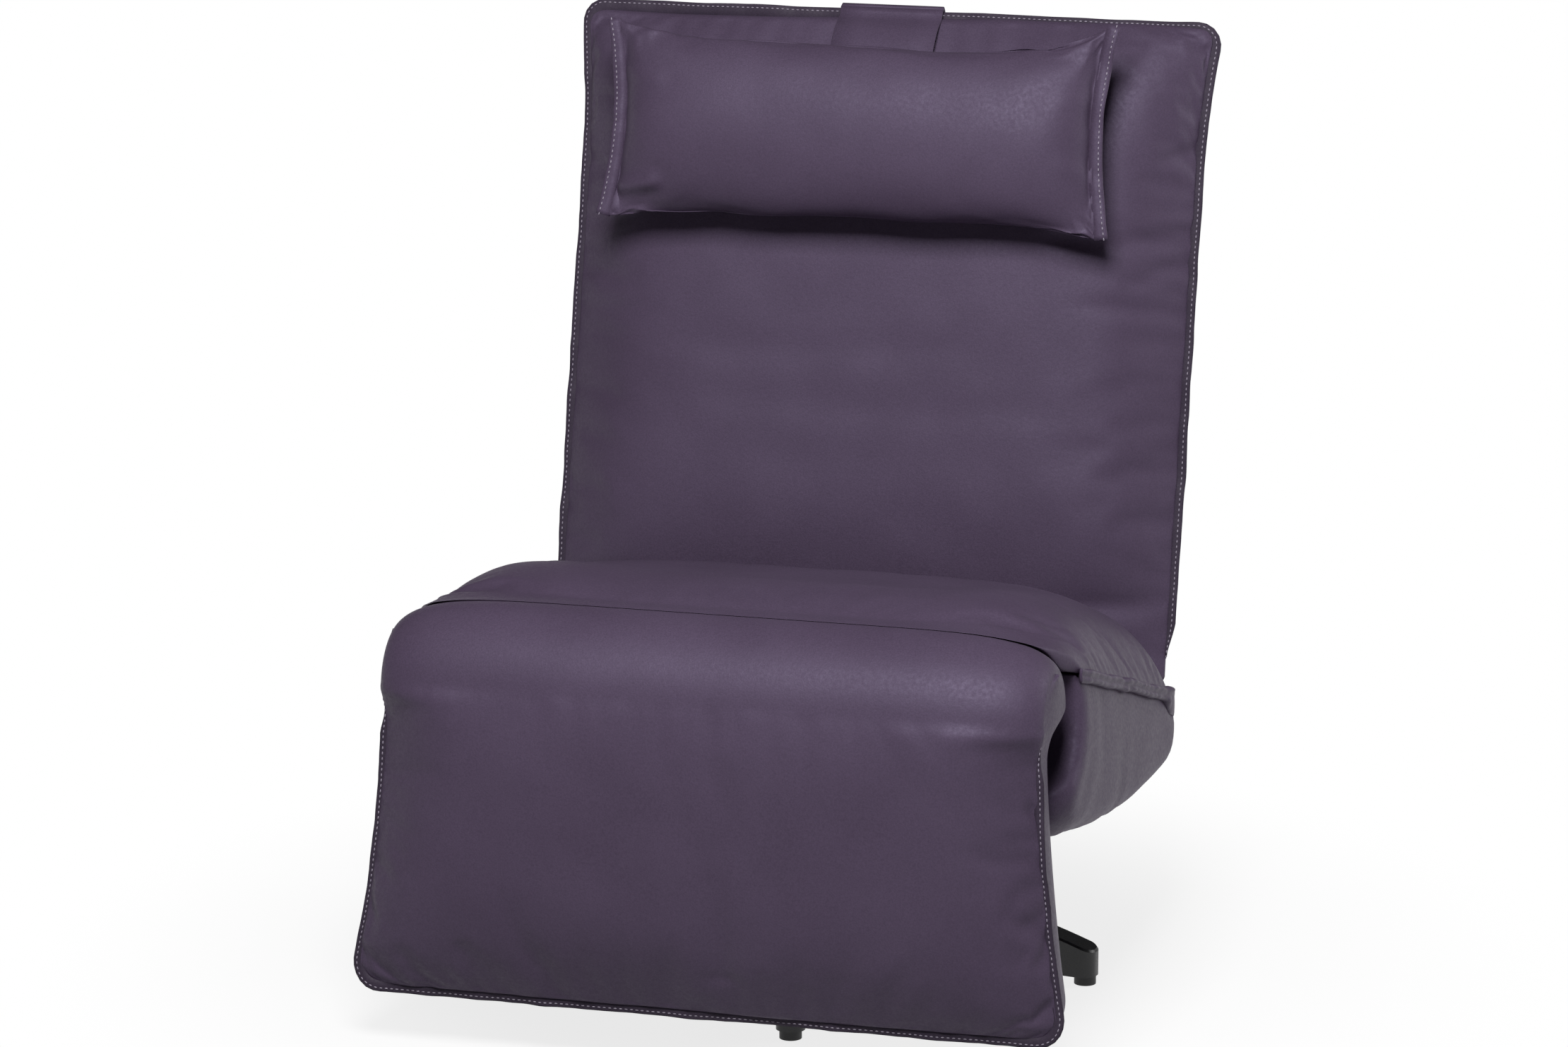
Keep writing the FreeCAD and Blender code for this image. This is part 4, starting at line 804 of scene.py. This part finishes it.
def place_seat(u, v, w):
    share = even_share(u)
    rise = shoulder(share, seat_shoulder_power, seat_shoulder_root)
    corner = np.clip((np.abs(share) - seat_corner_start) / (1 - seat_corner_start), 0, 1)
    front_y = seat_front_y + seat_corner_recess * corner**2
    y = front_y + (seat_tail_y - front_y) * v
    rim = rim_height(y)
    bottom = np.maximum(rim + 0.0015, over_roll(share, y, y - front_y))
    tail_drop = 0.045 * np.clip((v - 0.90) / 0.10, 0, 1) ** 2
    lip = lip_thick * np.clip((y - front_y) / 0.03, 0.15, 1)
    crown = slim * 1.03 * (crest_height(y) - rim) - tail_drop - sag_at(share, y)
    top = np.maximum(rim + crown * rise, bottom + lip)
    lean = 0.008 * v**6 * (1 - w)
    return np.stack([share * seat_half, y + swivel_y + lean, top + (bottom - top) * w], -1)


seat = box_skin("seat_cover", place_seat, 84, 72, 1)
seat_u, seat_v, seat_w = where_on(seat)
seat_sewn = (seat_w > 0.5) | (np.abs(seat_u) > 0.975) | (seat_v < 0.10) | (seat_v > 0.985)
stuff(seat, seat_sewn, pressure=5.0, most=0.016, slack=0.015)
ruffle(seat, 0.07, 0.0012, 8, where=(seat_w < 0.5) * (seat_v > 0.08))
finish_piece(seat, aubergine, "seat", subdivide=1)
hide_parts("seat_cushion")

# Seat welt
# Where the top cover meets the tub, both are turned in and sewn: a crumpled double ridge along each side of
# the seat, from the knee roll back to the foot of the back.

welt_front_y = -0.300
welt_back_y = 0.164

def welt_rings(side):
    """Rings of the double ridge along one side, with the crumple of turned-in cloth."""
    y = np.linspace(welt_front_y, welt_back_y, 150)
    line = np.stack([np.full(len(y), side * (seat_half + 0.001)), y + swivel_y, rim_height(y)], -1)
    crumple = cloud_at(line, 0.020, 21 + side)
    slow = cloud_at(line, 0.060, 31 + side)
    fade = np.clip(np.minimum(y - welt_front_y + 0.005, welt_back_y + 0.004 - y) / 0.030, 0.2, 1)
    closing = 0.016 * np.clip((y - 0.105) / 0.03, 0, 1)
    outline = ((-0.010, 0.0075), (0.000, 0.0080), (0.0052, 0.0062), (0.0060, 0.0028), (0.0026, 0.0004),
               (0.0064, -0.0024), (0.0060, -0.0062), (0.0006, -0.0080), (-0.010, -0.0080))
    rings = []
    for out, up in outline:
        bulge = 1 + 0.55 * crumple * (1 if up > 0 else -1)
        shift = np.stack([
            side * out * np.where(out > 0, bulge, 1) * fade,
            np.zeros(len(y)),
            up + 0.0040 * slow + 0.0016 * crumple - closing * (up < -0.005),
        ], -1)
        rings.append(line + shift)
    return np.stack(rings, 1)


for side, side_name in ((1, "right"), (-1, "left")):
    welt = skin(f"seat_welt_{side_name}", welt_rings(side))
    finish_piece(welt, aubergine, "seat", subdivide=1)

# Back
# A tall thin stuffed case over the back's tube frame: front and rear cover meet in a flat stitched flange at
# the sides and along the top, and the foot is a roll round the hinge. The top corners stand out a little.

back_hinge = joint_at["back_recline"]
back_origin = np.array([0.0, back_hinge.y, back_hinge.z])
back_lean = math.radians(13.5)
back_up = np.array([0.0, math.sin(back_lean), math.cos(back_lean)])
back_rear = np.array([0.0, math.cos(back_lean), -math.sin(back_lean)])
back_half = 0.337
back_ear = 0.011
back_length = 0.687
back_roll = 0.036
back_front_crown = 0.057
back_rear_crown = 0.050
back_edge_run = 0.140
back_foot_run = 0.130
back_corner = 0.018
back_edge = 0.0012
back_roll_share = 0.076
back_flange_root = 1.3


def on_back(x, off, level):
    """Points on the back: off its middle plane towards the rear, and level above the hinge along it."""
    across = np.stack([x, 0 * x, 0 * x], -1)
    return across + back_origin + off[..., None] * back_rear + level[..., None] * back_up


def back_half_at(level):
    """Half width of the back's outline: ears at the top, with rounded corners."""
    rise = np.clip((level - (back_length - 1.2 * back_edge_run)) / (1.2 * back_edge_run), 0, 1)
    into = np.clip(level - (back_length - back_corner), 0, back_corner)
    return back_half + back_ear * rise**2 - (back_corner - np.sqrt(back_corner**2 - into**2))


def back_crown_at(level, crown):
    from_foot = back_roll + (crown - back_roll) * swelling(level - 0.07, back_foot_run)
    return back_edge + (from_foot - back_edge) * swelling(back_length - level, back_edge_run) ** 0.6


def place_back(u, v, w):
    share = even_share(u)
    rise = shoulder(share, seat_shoulder_power, seat_shoulder_root)
    foot = v < back_roll_share
    turn = np.clip(v / back_roll_share, 0, 1) * 0.5 * math.pi
    up = 1 - (1 - np.clip((v - back_roll_share) / (1 - back_roll_share), 0, 1)) ** 1.5
    level = np.where(foot, -back_roll * rise * np.cos(turn), up * back_length)
    high = np.clip(level, 0, None)
    roll = back_roll * rise * np.sin(turn)
    front = np.where(foot, -roll, -slim * back_crown_at(high, back_front_crown) * rise)
    rear = np.where(foot, roll, slim * back_crown_at(high, back_rear_crown) * rise)
    edge_fall = 0.004 * np.sin(2.3 * share) * np.clip(high / back_length, 0, 1) ** 8
    return on_back(share * back_half_at(high), front + (rear - front) * w, level + edge_fall)


back = box_skin("back_cover", place_back, 84, 92, 1)
back_u, back_v, back_w = where_on(back)
back_sewn = (np.abs(back_u) > 0.955) | (back_v > 0.965) | (back_v < 0.08)
stuff(back, back_sewn, pressure=5.0, most=0.016, slack=0.02)
back_points = points_of(back)
back_level = (back_points - back_origin) @ back_up
back_flat = np.stack([back_points[:, 0], back_level], -1)
press_folds(back, back_flat, back_w < 0.5, [
    (((0.335, 0.470), (0.270, 0.452), (0.200, 0.455)), 0.0030, 0.012),
    (((0.335, 0.440), (0.285, 0.412)), 0.0030, 0.011),
    (((0.338, 0.560), (0.310, 0.545)), 0.0028, 0.010),
    (((-0.30, 0.330), (-0.10, 0.322), (0.10, 0.334)), 0.0007, 0.020),
    (((-0.16, 0.268), (0.06, 0.262), (0.26, 0.276)), 0.0007, 0.022),
    (((-0.33, 0.400), (-0.26, 0.388)), 0.0020, 0.012),
    (((-0.335, 0.520), (-0.300, 0.505)), 0.0022, 0.010),
])
ruffle(back, 0.06, 0.0013, 5)
finish_piece(back, aubergine, "back", subdivide=1)
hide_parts("back_cushion", "back_rear_pad")


def back_seam_path():
    """The line of the back's seam: up one side, along the top and down the other side."""
    levels = np.concatenate([
        np.linspace(0.02, back_length - back_corner, 60),
        back_length - back_corner + back_corner * np.sin(np.linspace(0.05, 0.5 * math.pi, 12)),
    ])
    right = np.stack([back_half_at(levels), levels], -1)
    left = np.stack([-right[::-1, 0], right[::-1, 1]], -1)
    line = np.concatenate([right, left])
    return even_path(on_back(line[:, 0], np.zeros(len(line)), line[:, 1]), seam_step)


back_rings, back_stitch_line = flange_rings(
    back_seam_path()[::-1], -back_rear, flange_width, flange_thick,
    ripple=0.0030, seed=41, taper=flange_taper, root=back_flange_root,
)
back_flange = skin("back_flange", back_rings)
# Painted shade: the back's flange takes the darker copy of the cover cloth.
finish_piece(back_flange, painted_shade_flange_cloth, "back")
sew("back_stitches", [back_stitch_line], "back")

# Head pillow
# A stuffed tube of the same cloth, sewn flat at both ends so that the ends stand taller than the middle, with
# a stitched flange at each end. It hangs on a strap and rests against the back.

pillow_x = -0.012
pillow_level = 0.567
pillow_half = 0.270
pillow_half_height = 0.101
pillow_belly_drop = 0.012
pillow_end_heights = {1: 0.113, -1: 0.106}
pillow_end_drops = {1: 0.0, -1: -0.007}
pillow_front_thick = 0.064
pillow_rear_thick = 0.047
pillow_end_thick = 0.002
pillow_off = -0.108
pillow_hollow = 0.012
pillow_flange_width = 0.0105


def place_pillow(u, v, w):
    share = even_share(u)
    swell = np.sqrt(np.clip(1 - np.abs(share) ** 5, 0, 1))
    turn = (v - 0.5) * math.pi
    end_height = np.where(share > 0, pillow_end_heights[1], pillow_end_heights[-1])
    end_drop = np.where(share > 0, pillow_end_drops[1], pillow_end_drops[-1]) * (1 - swell)
    height = pillow_half_height + (end_height - pillow_half_height) * (1 - swell)
    full = np.where(w < 0.5, pillow_front_thick, pillow_rear_thick)
    thick = pillow_end_thick + (slim * full - pillow_end_thick) * swell
    off = pillow_off - thick * np.cos(turn) * (1 - 2 * w)
    level = pillow_level + end_drop - pillow_belly_drop * swell + height * np.sin(turn)
    hollow = pillow_hollow * np.cos(turn) ** 2 * np.abs(share) ** 6
    return on_back(pillow_x + share * (pillow_half - hollow), off, level)


pillow = box_skin("head_pillow_cover", place_pillow, 72, 36, 1)
pillow_u, _, pillow_w = where_on(pillow)
stuff(pillow, np.abs(pillow_u) > 0.975, pressure=6.0, most=0.012, slack=0.035)
pillow_points = points_of(pillow)
pillow_flat = np.stack([pillow_points[:, 0], (pillow_points - back_origin) @ back_up], -1)
press_folds(pillow, pillow_flat, pillow_w < 0.5, [
    (((-0.262, 0.486), (-0.225, 0.492)), 0.0060, 0.011),
    (((-0.262, 0.610), (-0.225, 0.602)), 0.0018, 0.012),
    (((0.250, 0.600), (0.215, 0.594)), 0.0014, 0.012),
    (((0.250, 0.520), (0.220, 0.526)), 0.0014, 0.011),
])
ruffle(pillow, 0.05, 0.0014, 6, where=np.abs(pillow_u) < 0.97)
finish_piece(pillow, aubergine, "pillow", subdivide=1)
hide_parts("head_pillow")

pillow_lines = []
for side, side_name in ((1, "right"), (-1, "left")):
    turn = np.linspace(-0.49, 0.49, 60) * math.pi
    level = pillow_level + pillow_end_drops[side] + pillow_end_heights[side] * np.sin(turn)
    x = pillow_x + side * (pillow_half - pillow_hollow * np.cos(turn) ** 2)
    path = even_path(on_back(x, np.full(len(turn), pillow_off), level), 0.005)
    if side < 0:
        path = path[::-1]
    rings, line = flange_rings(
        path[::-1], -back_rear, pillow_flange_width, flange_thick, ripple=0.0035, seed=51 + side
    )
    flange = skin(f"pillow_flange_{side_name}", rings)
    finish_piece(flange, aubergine, "pillow")
    pillow_lines.append(line)
sew("pillow_stitches", pillow_lines, "pillow")

# Pillow strap and counterweight
# A hemmed band of the cover cloth is sewn to the pillow, runs up over the back's top edge and down behind it
# to a pouch with a steel weight, so the pillow stays at any height. The band slides over the edge.

strap_x = -0.006
strap_half = 0.057
strap_thick = 0.003
strap_gap = 0.0035
strap_top_level = 0.697
strap_top_rise = 0.003
strap_rear_lift = 0.0095
pouch_level = 0.515
pouch_half = 0.060
pouch_half_height = 0.045


def strap_rings(line, facing):
    """Rings of the flat band along a line, its edges thicker where they are folded over and hemmed."""
    hem = ((-1.0, 0.0), (-0.985, 0.75), (-0.88, 0.75), (-0.86, 0.45), (-0.4, 0.45), (0.0, 0.45), (0.4, 0.45),
           (0.86, 0.45), (0.88, 0.75), (0.985, 0.75), (1.0, 0.0), (0.985, -0.45), (0.5, -0.45), (-0.5, -0.45),
           (-0.985, -0.45))
    width = np.array([1.0, 0.0, 0.0]) * strap_half
    return np.stack([line + width * share + facing * (strap_thick * up) for share, up in hem], 1)


def band(name, offs, levels):
    """A stretch of the strap through points given off the back's middle plane and along it."""
    line = even_path(on_back(np.full(len(offs), strap_x), np.array(offs), np.array(levels)), seam_step)
    along = unit(np.gradient(line, axis=0))
    facing = unit(np.cross(along, np.array([1.0, 0.0, 0.0])))
    return skin(name, strap_rings(line, facing))


def clear_off(level, crown):
    return float(back_crown_at(np.array(level), crown)) + strap_gap


front_levels = [0.607, 0.625, 0.645, 0.660, 0.674, 0.686, strap_top_level]
rear_levels = front_levels[::-1] + [0.585, 0.568, 0.552]
front_offs = [-clear_off(level, back_front_crown) for level in front_levels]
strap_front = band("pillow_strap_front_band", front_offs, front_levels)
finish_piece(strap_front, aubergine, None)
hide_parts("pillow_strap_front")
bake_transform(strap_front)
turn = np.linspace(0, math.pi, 13)
top_offs = -clear_off(strap_top_level, 0) * np.cos(turn)
strap_top = band("pillow_strap_top_band", top_offs, strap_top_level + strap_top_rise * np.sin(turn))
finish_piece(strap_top, aubergine, "back")
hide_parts("pillow_strap_top")
rear_lifts = strap_rear_lift * np.clip((0.66 - np.array(rear_levels)) / 0.10, 0, 1)
rear_offs = [clear_off(level, back_rear_crown) + lift for level, lift in zip(rear_levels, rear_lifts)]
strap_rear = band("pillow_strap_rear_band", rear_offs, rear_levels)
finish_piece(strap_rear, aubergine, None)
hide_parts("pillow_strap_rear")
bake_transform(strap_rear)

pouch_off = back_rear_crown + 0.002 + 0.011


def place_pouch(u, v, w):
    across = even_share(u)
    up = even_share(2 * v - 1)
    rise = shoulder(across, 6, 0.5) * shoulder(up, 6, 0.5)
    off = pouch_off + (w - 0.5) * 2 * (0.001 + 0.0115 * rise)
    return on_back(strap_x + pouch_half * across, off, pouch_level + pouch_half_height * up)


pouch = box_skin("counterweight_pouch_cover", place_pouch, 30, 24, 1)
ruffle(pouch, 0.03, 0.0012, 9)
finish_piece(pouch, aubergine, "counterweight", subdivide=1)
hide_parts("counterweight_pouch")

# Floor, light and camera
# A plain white floor under soft studio light: one box of light high in front, and a weaker one on the right,
# behind. The camera stands where the photograph was taken from.

floor = new_piece("floor", bpy.data.meshes.new("floor"))
floor_reach = 60.0
floor_rim = 9.0
corners = ((-1, -1), (1, -1), (1, 1), (-1, 1))
floor.data.from_pydata(
    [(x * floor_reach, y * floor_reach, z) for z in (0, floor_rim) for x, y in corners],
    [],
    [(0, 1, 2, 3), (0, 4, 5, 1), (1, 5, 6, 2), (2, 6, 7, 3), (3, 7, 4, 0)],
)
white_floor = bpy.data.materials.new("white_floor")
white_floor.use_nodes = True
floor_tree = white_floor.node_tree
floor_tree.nodes.clear()
floor_place = add_node(floor_tree, "ShaderNodeTexCoord")
floor_far = add_node(floor_tree, "ShaderNodeVectorMath", operation="LENGTH")
floor_white = add_node(
    floor_tree,
    "ShaderNodeMapRange",
    {"From Min": 0.30, "From Max": 0.85, "To Min": 0.80, "To Max": 1.0},
    interpolation_type="SMOOTHSTEP",
)


def add_background_switch(tree):
    """A value that is 1 for rays that show the background: from the camera, off a gloss or through glass."""
    path = add_node(tree, "ShaderNodeLightPath")
    shiny = add_node(tree, "ShaderNodeMath", operation="MAXIMUM")
    seen = add_node(tree, "ShaderNodeMath", operation="MAXIMUM")
    tree.links.new(path.outputs["Is Glossy Ray"], shiny.inputs[0])
    tree.links.new(path.outputs["Is Transmission Ray"], shiny.inputs[1])
    tree.links.new(path.outputs["Is Camera Ray"], seen.inputs[0])
    tree.links.new(shiny.outputs[0], seen.inputs[1])
    return seen.outputs[0]


floor_seen = add_background_switch(floor_tree)
floor_share = add_node(floor_tree, "ShaderNodeMath", operation="MULTIPLY")
floor_tone = add_node(floor_tree, "ShaderNodeMapRange", {"To Min": 0.25, "To Max": 0.95})
floor_paint = add_node(floor_tree, "ShaderNodeBsdfDiffuse")
floor_glow = add_node(floor_tree, "ShaderNodeEmission", {"Strength": 1.0})
floor_mix = add_node(floor_tree, "ShaderNodeMixShader")
floor_result = add_node(floor_tree, "ShaderNodeOutputMaterial")
floor_tree.links.new(floor_place.outputs["Object"], floor_far.inputs[0])
floor_tree.links.new(floor_far.outputs["Value"], floor_white.inputs["Value"])
floor_tree.links.new(floor_white.outputs["Result"], floor_share.inputs[0])
floor_tree.links.new(floor_seen, floor_share.inputs[1])
floor_tree.links.new(floor_seen, floor_tone.inputs["Value"])
floor_tree.links.new(floor_tone.outputs["Result"], floor_paint.inputs["Color"])
floor_tree.links.new(floor_share.outputs[0], floor_mix.inputs["Fac"])
floor_tree.links.new(floor_paint.outputs["BSDF"], floor_mix.inputs[1])
floor_tree.links.new(floor_glow.outputs["Emission"], floor_mix.inputs[2])
floor_tree.links.new(floor_mix.outputs["Shader"], floor_result.inputs["Surface"])
floor.data.materials.append(white_floor)

room = bpy.data.worlds.new("studio")
room.use_nodes = True
ambient = room.node_tree.nodes["Background"]
ambient.inputs["Color"].default_value = (1, 1, 1, 1)
ambient.inputs["Strength"].default_value = 0.04
scene.world = room


def add_softbox(name, place, aim, width, power):
    """A square soft light that faces a point."""
    lamp = bpy.data.lights.new(name, "AREA")
    lamp.size = width
    lamp.energy = power
    box = new_piece(name, lamp)
    box.location = place
    box.rotation_euler = (Vector(aim) - Vector(place)).to_track_quat("-Z", "Y").to_euler()


add_softbox("front_box", (0.30, -2.00, 2.65), (0, -0.1, 0.5), 1.1, 98)
add_softbox("side_fill", (2.7, 1.2, 1.7), (0, 0, 0.35), 1.4, 28)

lens = bpy.data.cameras.new("photo_camera")
lens.lens = 131.6
lens.sensor_width = 36.0
camera = new_piece("photo_camera", lens)
camera.location = (1.5109, -5.5775, 1.8739)
view_point = Vector((-0.040, 0.053, 0.461))
camera.rotation_euler = (view_point - camera.location).to_track_quat("-Z", "Y").to_euler()
scene.camera = camera
scene.view_settings.view_transform = "Standard"
